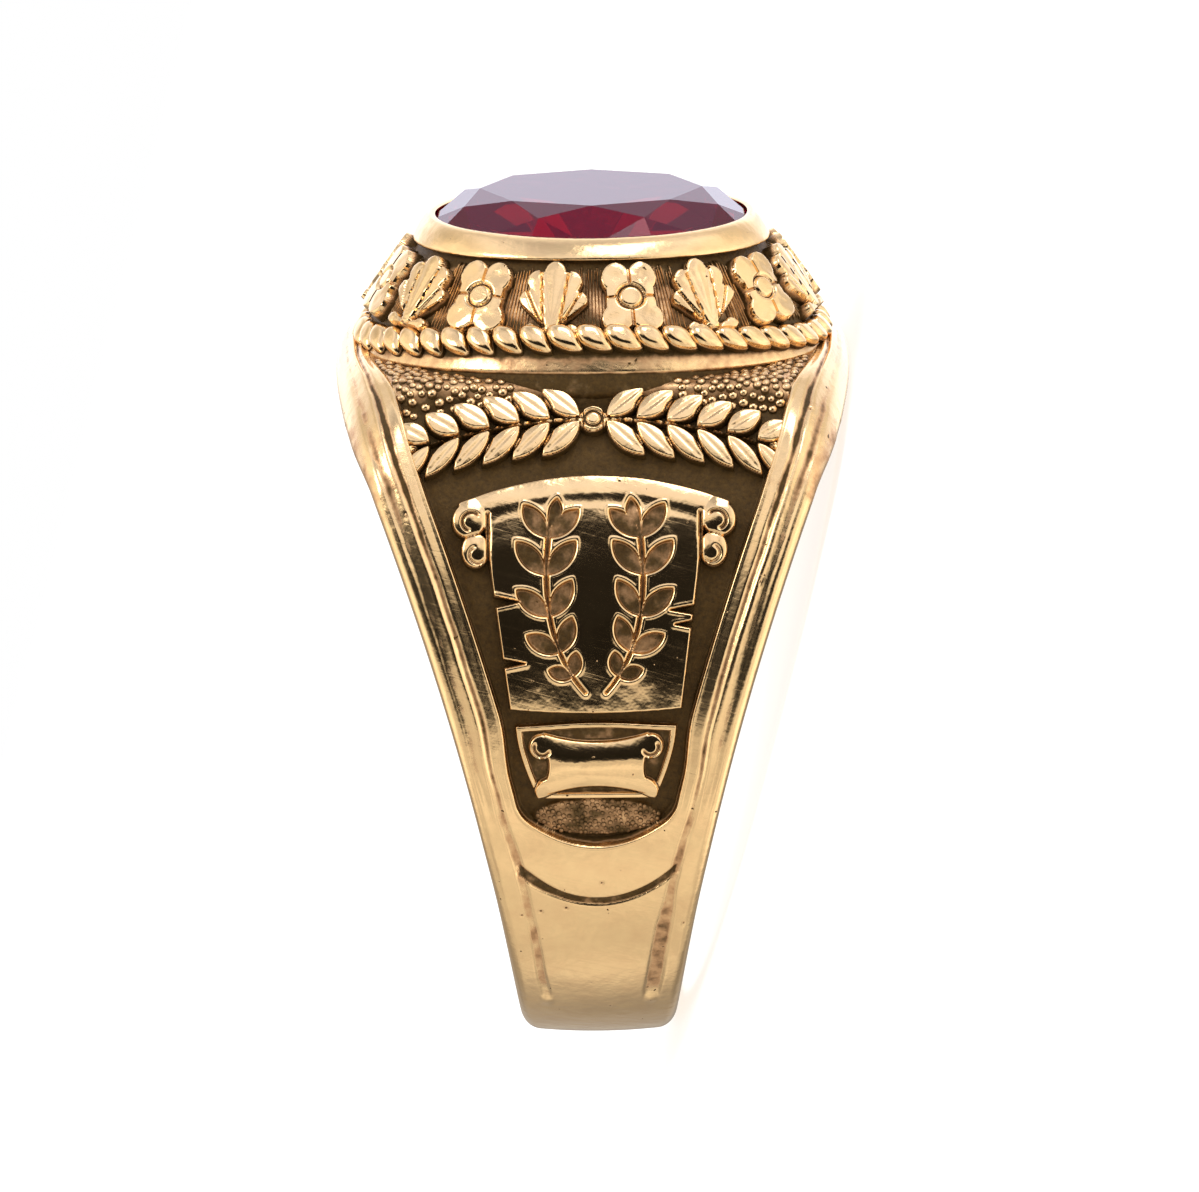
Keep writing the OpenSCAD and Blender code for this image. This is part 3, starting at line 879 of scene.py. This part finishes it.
class RING_OT_head(Operator):
    """Cast the head: ledge, rope seat, sloping band, burnished rim and the seat under the stone"""

    bl_idname = "ring.head"
    bl_label = "Head"

    def execute(self, context):
        count = 288
        rings = rounded_rings(HEAD_RINGS, 2)
        t = np.linspace(0, 2 * math.pi, count, endpoint=False)
        a, b, height, rise, stain = (rings[:, i : i + 1] for i in range(5))
        # The rim was burnished over by hand, so it is not quite even
        x, y = a * np.cos(t), b * np.sin(t)
        worn = 1 + 0.005 * ripple(x, y + height, 2.6, 2) * (height > 11)
        sag = 0.025 * ripple(x, y, 3.2, 3) * ease(14.9, 15.4, height)
        points = np.stack([x * worn, y * worn, height + rise * np.sin(t) ** 2 + sag], axis=-1)
        around, last = list(range(count)), (len(rings) - 1) * count
        faces = grid_faces(len(rings), count, False, closed=True)
        faces += [around[::-1], [last + j for j in around]]
        stain = np.repeat(stain, count, axis=1)
        place(make_object("head", points, faces, stain, gold(context.scene.ring_gold, "worn")))
        return {"FINISHED"}


def keep_result(obj):
    """Turns the evaluated result into the object's plain mesh and removes its modifiers."""
    depsgraph = bpy.context.evaluated_depsgraph_get()
    mesh = bpy.data.meshes.new_from_object(obj.evaluated_get(depsgraph), depsgraph=depsgraph)
    obj.modifiers.clear()
    old, obj.data = obj.data, mesh
    mesh.name = obj.name
    if old.users == 0:
        bpy.data.meshes.remove(old)


def seat_tree():
    """Geometry Nodes that seat a piece on every point of a guide, standing along its facing."""
    tree = bpy.data.node_groups.get("Seat_pieces")
    if tree:
        return tree
    tree = bpy.data.node_groups.new("Seat_pieces", "GeometryNodeTree")
    for label, way, kind, default in (
        ("Geometry", "INPUT", "Geometry", None), ("Piece", "INPUT", "Object", None),
        ("Finish", "INPUT", "Material", None), ("Size", "INPUT", "Float", 1.0),
        ("Size Change", "INPUT", "Float", 0.0), ("Turn Change", "INPUT", "Float", 0.0),
        ("Seed", "INPUT", "Int", 1), ("Geometry", "OUTPUT", "Geometry", None),
    ):
        socket = tree.interface.new_socket(label, in_out=way, socket_type="NodeSocket" + kind)
        if default is not None:
            socket.default_value = default
    given = add_node(tree, "NodeGroupInput").outputs
    facing, upward = (
        add_node(tree, "GeometryNodeInputNamedAttribute", {"Name": name}, data_type="FLOAT_VECTOR")
        for name in ("facing", "upward")
    )
    align = "FunctionNodeAlignRotationToVector"
    stand = add_node(tree, align, {"Vector": facing}, axis="Z")
    level = add_node(
        tree, align, {"Rotation": stand, "Vector": upward}, axis="Y", pivot_axis="Z"
    )
    # Each piece is turned and sized a little differently, as hand work leaves them
    size, change, turn, seed = (given[k] for k in ("Size", "Size Change", "Turn Change", "Seed"))
    back = add_node(tree, MATH, {0: 0.0, 1: turn}, operation="SUBTRACT")
    swing = add_node(tree, "FunctionNodeRandomValue", {"Min": back, "Max": turn, "Seed": seed})
    spin = add_node(tree, "ShaderNodeCombineXYZ", {"Z": swing})
    spin = add_node(tree, "FunctionNodeEulerToRotation", {0: spin})
    stance = add_node(
        tree, "FunctionNodeRotateRotation", {0: level, 1: spin}, rotation_space="LOCAL"
    )
    low = add_node(tree, MATH, {0: size, 1: change}, operation="SUBTRACT")
    high = add_node(tree, MATH, {0: size, 1: change}, operation="ADD")
    scale = add_node(tree, "FunctionNodeRandomValue", {"Min": low, "Max": high, "Seed": seed})
    piece = add_node(tree, "GeometryNodeObjectInfo", {"Object": given["Piece"]})
    seated = add_node(tree, "GeometryNodeInstanceOnPoints", {
        "Points": given["Geometry"], "Instance": piece.outputs["Geometry"],
        "Rotation": stance, "Scale": scale,
    })
    real = add_node(tree, "GeometryNodeRealizeInstances", {"Geometry": seated})
    done = add_node(
        tree, "GeometryNodeSetMaterial", {"Geometry": real, "Material": given["Finish"]}
    )
    add_node(tree, "NodeGroupOutput", {"Geometry": done})
    return tree


def seat_pieces(name, points, facing, upward, piece, material, **values):
    """Seats a copy of a piece on each point, realized as one plain mesh in the ring's own frame."""
    mesh = bpy.data.meshes.new(name)
    mesh.from_pydata(points.tolist(), [], [])
    for label, rows in (("facing", facing), ("upward", upward)):
        layer = mesh.attributes.new(label, "FLOAT_VECTOR", "POINT")
        layer.data.foreach_set("vector", np.ascontiguousarray(rows.reshape(-1), np.float32))
    obj = bpy.data.objects.new(name, mesh)
    bpy.context.scene.collection.objects.link(obj)
    modifier = obj.modifiers.new("Seat", "NODES")
    modifier.node_group = seat_tree()
    sockets = {
        item.name: item.identifier
        for item in modifier.node_group.interface.items_tree if item.in_out == "INPUT"
    }
    for label, value in {"Piece": piece, "Finish": material, **values}.items():
        modifier[sockets[label.replace("_", " ")]] = value
    keep_result(obj)
    bpy.data.objects.remove(piece)
    obj.data.polygons.foreach_set("use_smooth", [True] * len(obj.data.polygons))
    obj.data.set_sharp_from_angle(angle=math.radians(55))
    return obj


def oval_seats(a, b, height, rise, lean, count, start=0.0):
    """Points spaced evenly round an oval, with the way each faces, leaning up from level by an
    angle in degrees, and its upward way."""
    fine = np.linspace(0, 2 * math.pi, 2881)  # in steps of an eighth of a degree
    gaps = np.hypot(np.diff(a * np.cos(fine)), np.diff(b * np.sin(fine)))
    run = np.concatenate([[0], np.cumsum(gaps)])
    t = np.interp((np.arange(count) + start) / count * run[-1], run, fine)
    points = np.stack([a * np.cos(t), b * np.sin(t), height + rise * np.sin(t) ** 2], axis=-1)
    level = np.stack([np.cos(t) / a, np.sin(t) / b, np.zeros(count)], axis=-1)
    level /= np.linalg.norm(level, axis=1)[:, None]
    c, s = math.cos(math.radians(lean)), math.sin(math.radians(lean))
    up = np.array([0, 0, 1])
    return points, level * c + up * s, up * c - level * s


def bead_piece(z):
    """One slanted petal-like bead of the rope border: rounded top, tail to the lower right."""
    rings, spokes = 9, 20
    wide, tall, thick, foot = z.bead_w * 0.54, 0.47, 0.36, -0.25
    reach = np.sin(np.arange(rings + 1) / rings * math.pi / 2)[:, None]
    t = np.linspace(0, 2 * math.pi, spokes, endpoint=False)
    c, s = np.cos(t), np.sin(t)
    # Its outline is fuller than an oval
    full = (np.abs(c) ** 2.5 + np.abs(s) ** 2.5) ** (-1 / 2.5)
    x, y = wide * reach * full * c, tall * reach * full * s
    x = x - 0.36 * y + 0.22 * np.maximum(0, -y / tall) ** 2
    lift = thick * (1 - reach**3.6) ** 0.5 - 0.05 * (x / wide) - 0.02
    points = np.stack([x, y, lift], axis=-1)
    base = np.stack([x[-1:], y[-1:], np.full((1, spokes), foot)], axis=-1)
    stain = np.repeat(0.95 * np.maximum(0, reach - 0.9) / 0.1, spokes, axis=1)
    faces = grid_faces(rings + 2, spokes, True, closed=True)
    faces.append([(rings + 1) * spokes + j for j in range(spokes)][::-1])
    return np.concatenate([points, base]), faces, np.concatenate([stain, np.ones((1, spokes))])


class RING_OT_rope(Operator):
    """Lay the rope border of slanted beads round the foot of the band"""

    bl_idname = "ring.rope"
    bl_label = "Rope border"

    def execute(self, context):
        z = read_sizes(context)
        finish = gold(context.scene.ring_gold, "bright")
        bead = make_object("rope_bead", *bead_piece(z), finish)
        merge_points(bead)
        seats = oval_seats(7.33, 6.59, 11.80, 1.00, 37, z.beads)
        place(seat_pieces(
            "rope_border", *seats, bead, finish, Size=1.0, Size_Change=0.04, Turn_Change=0.06,
            Seed=5,
        ))
        return {"FINISHED"}


def merge_points(obj):
    """Joins points that coincide, such as a dome's crown."""
    work = bmesh.new()
    work.from_mesh(obj.data)
    bmesh.ops.remove_doubles(work, verts=work.verts, dist=1e-4)
    bmesh.ops.recalc_face_normals(work, faces=work.faces)
    work.to_mesh(obj.data)
    work.free()


def ornament_piece(name, shape, height, material):
    """A raised ornament, bent to the band's curve, from a signed distance and a relief."""
    cols, rows, half_x, half_y = 58, 70, 1.14, 1.40
    bend, depth = 6.4, 0.35
    x, y = np.meshgrid(np.linspace(-half_x, half_x, cols), np.linspace(-half_y, half_y, rows))
    sd, carve = shape(x * (1 + 0.09 * y), y)
    on = ease(0.0, 0.12, -sd)
    h = height + 0.03 * ease(0.05, 0.42, -sd) + 0.012 * ripple(x, y, 1.3, 6) - carve
    r = bend + h * on - 0.25 * (1 - on)
    top = np.stack([r * np.sin(x / bend), y, r * np.cos(x / bend) - bend], axis=-1).reshape(-1, 3)
    stain = np.maximum(1 - ease(0.04, 0.12, -sd), 0.85 * ease(0.05, 0.15, carve)).reshape(-1)
    rim, total = rim_of(rows, cols), rows * cols
    ring = list(range(total, total + len(rim)))
    points = np.concatenate([top, top[rim] - np.array([0, 0, depth])])
    faces = grid_faces(rows, cols, False) + skirt(rim, ring) + [ring[::-1]]
    return make_object(name, points, faces, np.concatenate([stain, np.ones(len(rim))]), material)


def rosette(x, y):
    """A flower of four broad petals round a button."""
    petal = np.hypot(np.abs(x) - 0.42, (np.abs(y) - 0.68) * 0.92) - 0.56
    sd = np.minimum(petal, box_sd(x, y, 0.84, 1.08, 0.35))
    r = np.hypot(x, y)
    ring = hump(r, 0.38, 0.09)
    part = hump(np.minimum(np.abs(x), np.abs(y)), 0.0, 0.055) * (r > 0.38)
    cup = hump(np.hypot(np.abs(x) - 0.56, np.abs(y) - 0.72), 0.0, 0.36)
    return sd, 0.14 * np.maximum(ring, part) + 0.022 * cup


def palmette(x, y):
    """A shell of five touching lobes over a short rolled foot, such as classical borders have."""
    sd = np.hypot(np.abs(x) - 0.58, y + 1.08) - 0.28
    sd = np.minimum(box_sd(x, y + 1.12, 0.60, 0.20, 0.14), sd)
    split = hump(y, -0.84, 0.07) * (np.abs(x) < 0.30)
    for turn, long, wide in (
        (38, 1.22, 0.38), (-38, 1.22, 0.38), (19, 1.66, 0.43), (-19, 1.66, 0.43), (0, 1.86, 0.44),
    ):
        c, s = math.cos(math.radians(turn)), math.sin(math.radians(turn))
        lobe = stroke_sd(x, y, [(0.0, -0.98), (-s * long, c * long - 0.98)], [0.22, wide])
        split = np.maximum(split * (lobe > 0), hump(lobe, 0.0, 0.05) * (sd < 0))
        sd = np.minimum(sd, lobe)
    return sd, 0.12 * split


class RING_OT_ornaments(Operator):
    """Set the rosettes and palmettes round the sloping band, and the score lines between them"""

    bl_idname = "ring.ornaments"
    bl_label = "Band ornaments"

    def execute(self, context):
        z, look = read_sizes(context), context.scene.ring_gold
        bright, worn = gold(look, "bright"), gold(look, "worn")
        oval = (6.42, 5.60, 13.42, 0.35, 35)
        for name, shape, start in (
            ("band_rosettes", rosette, 0.25), ("band_palmettes", palmette, 0.75),
        ):
            piece = ornament_piece(name + "_piece", shape, z.ornament_h, bright)
            seats = oval_seats(*oval, z.ornaments // 2, start)
            place(seat_pieces(name, *seats, piece, bright, Size=1.0, Seed=3))
        # Nine score lines in each gap, taken from a fine division of the same oval
        fine, spacing = 1440, 0.045
        pick = [
            round((gap + k * spacing) / z.ornaments * fine) % fine
            for gap in range(z.ornaments) for k in range(-4, 5)
        ]
        seats = [rows[pick] for rows in oval_seats(*oval, fine)]
        place(seat_pieces(
            "score_lines", *seats, score_piece(worn), worn, Size=1.0, Size_Change=0.12,
            Turn_Change=0.03, Seed=9,
        ))
        return {"FINISHED"}


def score_piece(material):
    """One fine ridge left between two score lines."""
    points = np.array([
        (-0.035, -1.15, -0.05), (0.035, -1.15, -0.05), (0.035, 1.15, -0.05),
        (-0.035, 1.15, -0.05), (0.0, -1.0, 0.05), (0.0, 1.0, 0.05),
    ])
    faces = [[0, 3, 2, 1], [0, 1, 4], [2, 3, 5], [1, 2, 5, 4], [3, 0, 4, 5]]
    stain = np.array([1, 1, 1, 1, 0.35, 0.35])
    return make_object("score_line_piece", points, faces, stain, material)


def grain_piece(material, crown_stain):
    """One low dome of the stippled ground, with how much oxide its crown still holds."""
    spokes, rings = 8, ((0.07, 0.055), (0.105, 0.0), (0.11, -0.06))
    t = np.linspace(0, 2 * math.pi, spokes, endpoint=False)
    points = np.concatenate([[(0, 0, 0.075)]] + [
        np.stack([r * np.cos(t), r * np.sin(t), np.full(spokes, h)], axis=-1) for r, h in rings
    ])
    faces = [[0, 1 + j, 1 + (j + 1) % spokes] for j in range(spokes)]
    faces += grid_faces(len(rings), spokes, True, first=1, closed=True)
    faces.append([1 + 2 * spokes + j for j in range(spokes)][::-1])
    stain = np.array([crown_stain] + [crown_stain * 0.7 + 0.2] * spokes + [0.85] * 2 * spokes)
    return make_object("grain_piece", points, faces, stain, material)


def at_foot(f, s, _):
    """Whether places lie on the bed at the foot of the panel."""
    return (f / 2.0) ** 2 + ((s - BED) / 0.58) ** 2 < 1


def in_corner(f, s, out):
    """Whether places lie in one of the panel's two upper corners, beside the head."""
    outside = (f / 7.7) ** 2 + (out / 7.0) ** 2 > 1
    return (s > 12.6 - 0.16 * np.abs(f)) & outside & (np.abs(f) > 2.6)


def grain_seats(z, side, rng, zone, reach, low, high, gap, bed):
    """Places for grains within a zone, no two nearer than the gap, on a bed above the ground."""
    tries = 14000
    f, s = rng.uniform(-reach, reach, tries), rng.uniform(low, high, tries)
    out, _, _ = side_view(z, s)
    seats = np.full((1, 2), 99.0)  # a first seat far outside, left out again below
    for seat in np.stack([f, s], axis=1)[(panel_sd(z, f, s) < -0.18) & zone(f, s, out)]:
        if (((seats - seat) ** 2).sum(axis=1) > gap**2).all():
            seats = np.vstack([seats, seat])
    f, s = seats[1:].T
    points = on_shoulder(z, f, s, bed - floor_depth(z, s), side)
    _, _, a = side_view(z, s)
    facing = np.stack([0 * a, -side * np.cos(a), np.sin(a)], axis=-1)
    upward = np.stack([0 * a, side * np.sin(a), np.cos(a)], axis=-1)
    return points, facing, upward


class RING_OT_grains(Operator):
    """Scatter the stipple grains over the foot of each sunk panel and its upper corners"""

    bl_idname = "ring.grains"
    bl_label = "Stipple grains"

    def execute(self, context):
        z, finish = read_sizes(context), gold(context.scene.ring_gold, "worn")
        rng = np.random.default_rng(12)
        # Where it goes, crown stain, size, size change, seed
        foot = (at_foot, 2.1, -2.4, -1.1, 0.14, 0.14), 0.55, 0.72, 0.18, 7
        corner = (in_corner, 7.0, 11.7, z.s_flat + 3, 0.26, 0.0), 0.2, 1.45, 0.25, 8
        for side, way in ((1, "near"), (-1, "far")):
            for name, (where, stain, size, change, seed) in (
                ("stipple_foot_", foot), ("stipple_corner_", corner),
            ):
                seats = grain_seats(z, side, rng, *where)
                place(seat_pieces(
                    name + way, *seats, grain_piece(finish, stain), finish, Size=size,
                    Size_Change=change, Seed=seed,
                ))
        return {"FINISHED"}


def ruby():
    """Synthetic ruby, cut and polished: a clear deep red that goes darker with its depth."""
    material, tree, shader = new_material("Cut_ruby")
    feed(shader, {
        "Base Color": (*linear("C4085A"), 1), "Transmission Weight": 0.88, "IOR": 1.762,
        "Roughness": 0.015,
        # Wear leaves the facets less glossy face on, while the table still mirrors the tent
        "Specular Tint": (0.30, 0.28, 0.30, 1),
    })
    depth = add_node(tree, "ShaderNodeVolumeAbsorption", {
        "Color": (0.84, 0.0, 0.25, 1), "Density": 570.0,
    })
    feed(tree.nodes["Material Output"], {"Volume": depth})
    return material


class RING_OT_stone(Operator):
    """Give the faceted stone its ruby finish"""

    bl_idname = "ring.stone"
    bl_label = "Stone"

    def execute(self, context):
        stone = frame["nodes"][STONE_NODE]
        stone.data.materials.clear()
        stone.data.materials.append(ruby())
        return {"FINISHED"}


def paper(look):
    """Matt white studio paper: plain, with no visible grain at this distance."""
    material, _, shader = new_material("White_paper")
    # The paper is lit past white, as in a studio cut-out
    feed(shader, {
        "Base Color": (*look.floor, 1), "Roughness": 0.9, "Specular IOR Level": 0.0,
        "Emission Color": (1, 1, 1, 1), "Emission Strength": 0.68,
    })
    return material


# How bright the tent is in the direction of a reflection, from how far that points to the
# front, up and across, and from the folds. A STEP row holds its name, what it reads, two places
# and the values it takes there, smooth between. Any other row holds its name, the operation of
# a Math node and its terms.
TENT = (
    # The darker front, where the camera and the room are. Its upper edge comes lower towards
    # both sides, and the tent opens wider to the left of the camera than to its right
    ("size", "ABSOLUTE", "across"),
    ("facing", "STEP", "front", 0.2, 0.45, 0, 1),
    ("raised", "STEP", "up", -0.06, 0.03, 0, 1),
    ("dark", "MULTIPLY", "facing", "raised"),
    ("over", "MULTIPLY_ADD", "size", 0.5, "up"),
    ("lower", "STEP", "over", 0.66, 0.80, 1, 0),
    ("dark", "MULTIPLY", "dark", "lower"),
    ("left", "STEP", "across", -0.88, -0.68, 0, 1),
    ("right", "STEP", "across", 0.42, 0.64, 1, 0),
    ("span", "MULTIPLY", "left", "right"),
    ("dark", "MULTIPLY", "dark", "span"),
    # Lit cloth behind, at both sides and overhead
    ("back", "STEP", "front", -0.55, -0.9, 0, 1.15),
    ("back_up", "STEP", "up", -0.30, -0.08, 0, 1),
    ("glow", "MULTIPLY", "back", "back_up"),
    ("sides", "STEP", "size", 0.72, 0.93, 0, 0.6),
    ("light", "ADD", "glow", "sides"),
    ("overhead", "STEP", "up", 0.45, 0.85, 0, 0.45),
    # The paper just in front of the ring is the brightest part of what the shank mirrors
    ("under", "STEP", "up", 0, -0.4, 0, 1),
    ("middle", "STEP", "size", 0.05, 0.42, 0.22, 0),
    ("sheet", "MULTIPLY", "under", "middle"),
    ("above", "ADD", "overhead", "sheet"),
    ("light", "ADD", "light", "above"),
    ("low", "STEP", "up", -0.35, -0.65, 0, 0.10),
    ("light", "ADD", "light", "low"),
    # A white card stands to the right of the camera
    ("card", "STEP", "across", 0.40, 0.66, 0, 0.4),
    ("beside", "STEP", "front", -0.5, -0.1, 0, 1),
    ("card", "MULTIPLY", "card", "beside"),
    ("light", "ADD", "light", "card"),
    ("light", "ADD", "light", 0.86),
    ("shade", "STEP", "dark", 0, 1, 1, 0.02),
    ("light", "MULTIPLY", "light", "shade"),
    ("foot", "STEP", "up", -0.85, -0.55, 0.80, 1),
    ("light", "MULTIPLY", "light", "foot"),
    # Behind and below lies the ring's own shadow on the paper
    ("rear", "STEP", "front", 0, -0.5, 0, 1),
    ("ground", "STEP", "up", -0.12, -0.35, 0, 1),
    ("shadow", "MULTIPLY", "rear", "ground"),
    ("dim", "STEP", "shadow", 0, 1, 1, 0.45),
    ("light", "MULTIPLY", "light", "dim"),
    ("fold", "STEP", "folds", 0.36, 0.64, 0.80, 1.14),
    ("light", "MULTIPLY", "light", "fold"),
    ("crown", "STEP", "up", 0.90, 0.985, 1, 0.6),
    ("light", "MULTIPLY", "light", "crown"),
    # The cloth behind and overhead is lit a little bluer
    ("far", "STEP", "front", -0.4, -0.8, 0, 1),
    ("far_up", "STEP", "up", -0.2, 0.05, 0, 1),
    ("behind", "MULTIPLY", "far", "far_up"),
    ("top", "STEP", "up", 0.55, 0.9, 0, 1),
    ("cool", "MAXIMUM", "behind", "top"),
)


def studio_light(world):
    """A white light tent with a darker front, seen only in the ring's reflections."""
    world.use_nodes = True
    tree = world.node_tree
    tree.nodes.clear()
    way = add_node(tree, WHERE).outputs["Generated"]
    made = {
        name: add_node(
            tree, "ShaderNodeVectorMath", {0: way, 1: axis}, operation="DOT_PRODUCT"
        ).outputs["Value"]
        for name, axis in (("front", NEAR), ("up", UP), ("across", FINGER))
    }
    # The tent's cloth is not even: soft folds some 20 degrees wide
    made["folds"] = add_node(
        tree, NOISE, {"Vector": way, "Scale": 3.2, "Detail": 2.0, "Roughness": 0.5}
    )
    for name, work, *terms in TENT:
        terms = [made.get(term, term) for term in terms]
        if work == "STEP":
            inputs = dict(zip(("Value", "From Min", "From Max", "To Min", "To Max"), terms))
            made[name] = add_node(tree, RANGE, inputs, interpolation_type="SMOOTHSTEP")
        else:
            made[name] = add_node(tree, MATH, dict(enumerate(terms)), operation=work)
    warm, cool = ((*linear(tone), 1) for tone in ("FFFCF6", "EBEFFF"))
    tint = add_node(
        tree, MIX, {"Factor": made["cool"], "A": warm, "B": cool}, data_type="RGBA"
    )
    seen, plain = (
        add_node(tree, "ShaderNodeBackground", {"Color": shade, "Strength": power})
        for shade, power in ((tint, made["light"]), ((1, 1, 1, 1), 1.0))
    )
    camera_ray = add_node(tree, "ShaderNodeLightPath").outputs["Is Camera Ray"]
    both = add_node(tree, "ShaderNodeMixShader", {0: camera_ray, 1: seen, 2: plain})
    add_node(tree, "ShaderNodeOutputWorld", {"Surface": both})


def soft_box(name, where, size, power):
    """A square softbox aimed at the ring. where is in the ring's own frame, in millimetres."""
    data = bpy.data.lights.new(name, "AREA")
    data.shape, data.size, data.energy = "SQUARE", size * MM, power
    lamp = bpy.data.objects.new(name, data)
    lamp.location = to_row() @ Vector(where)
    lamp.rotation_mode = "QUATERNION"
    aim = to_row() @ Vector((0, 0, 6))
    lamp.rotation_quaternion = (aim - lamp.location).to_track_quat("-Z", "Y")
    bpy.context.scene.collection.objects.link(lamp)


class RING_OT_stage(Operator):
    """Lay the floor and set up the light and the camera"""

    bl_idname = "ring.stage"
    bl_label = "Stage"

    def execute(self, context):
        scene, look = context.scene, context.scene.ring_stage
        half = 3.0  # metres, so that its edges stay out of the picture
        corners = [(-half, -half, 0), (half, -half, 0), (half, half, 0), (-half, half, 0)]
        mesh = bpy.data.meshes.new("floor")
        mesh.from_pydata(corners, [], [[0, 1, 2, 3]])
        mesh.materials.append(paper(look))
        floor = bpy.data.objects.new("floor", mesh)
        scene.collection.objects.link(floor)
        # In the photo's setup the metal mirrors the tent below it, not a sheet lying this close
        floor.visible_glossy = False

        scene.world = scene.world or bpy.data.worlds.new("Studio")
        studio_light(scene.world)
        soft_box("softbox_left", (-240, -130, 190), 120, 0.24)
        soft_box("softbox_top", (60, -60, 330), 140, 0.24)

        camera = bpy.data.cameras.new("camera")
        camera.sensor_width = 36.0
        camera.lens = look.focal_px / PHOTO_W * camera.sensor_width
        camera.dof.use_dof = False
        camera.clip_start = 0.01
        eye = bpy.data.objects.new("camera", camera)
        back = NEAR * math.cos(look.elevation) + UP * math.sin(look.elevation)
        over = UP * math.cos(look.elevation) - NEAR * math.sin(look.elevation)
        over = Matrix.Rotation(look.roll, 3, back) @ over
        right = over.cross(back)
        spot = CENTRE + UP * look.aim_up + FINGER * look.aim_side + back * look.distance
        turn = Matrix((right, over, back)).transposed().to_4x4()
        eye.matrix_world = Matrix.Translation(spot) @ turn
        scene.collection.objects.link(eye)
        scene.camera = eye
        scene.view_settings.view_transform = "Standard"
        return {"FINISHED"}


STEPS = (
    RING_OT_hoop, RING_OT_plates, RING_OT_cups, RING_OT_leaf_rows, RING_OT_head, RING_OT_rope,
    RING_OT_ornaments, RING_OT_grains, RING_OT_stone, RING_OT_stage,
)


class RING_PT_panel(Panel):
    """The ring's pieces in the sidebar"""

    bl_label = "Gemstone ring"
    bl_space_type = "VIEW_3D"
    bl_region_type = "UI"
    bl_category = "Ring"

    def draw(self, context):
        for step in STEPS:
            self.layout.operator(step.bl_idname)


GROUPS = (
    ("ring_hoop", HoopSizes), ("ring_head", HeadSizes), ("ring_gold", GoldLook),
    ("ring_stage", StageLook),
)


def register():
    """Adds the ring's settings, operators and panel."""
    for name, group in GROUPS:
        bpy.utils.register_class(group)
        setattr(bpy.types.Scene, name, PointerProperty(type=group))
    for cls in (*STEPS, RING_PT_panel):
        bpy.utils.register_class(cls)


def unregister():
    """Takes them out again, in the other order."""
    for cls in (RING_PT_panel, *reversed(STEPS)):
        bpy.utils.unregister_class(cls)
    for name, group in reversed(GROUPS):
        delattr(bpy.types.Scene, name)
        bpy.utils.unregister_class(group)


def main():
    """Builds the ring step by step."""
    register()
    for step in STEPS:
        family, action = step.bl_idname.split(".")
        result = getattr(getattr(bpy.ops, family), action)()
        if result != {"FINISHED"}:
            raise RuntimeError(f"{step.bl_label} did not finish")


if __name__ == "__main__":
    main()
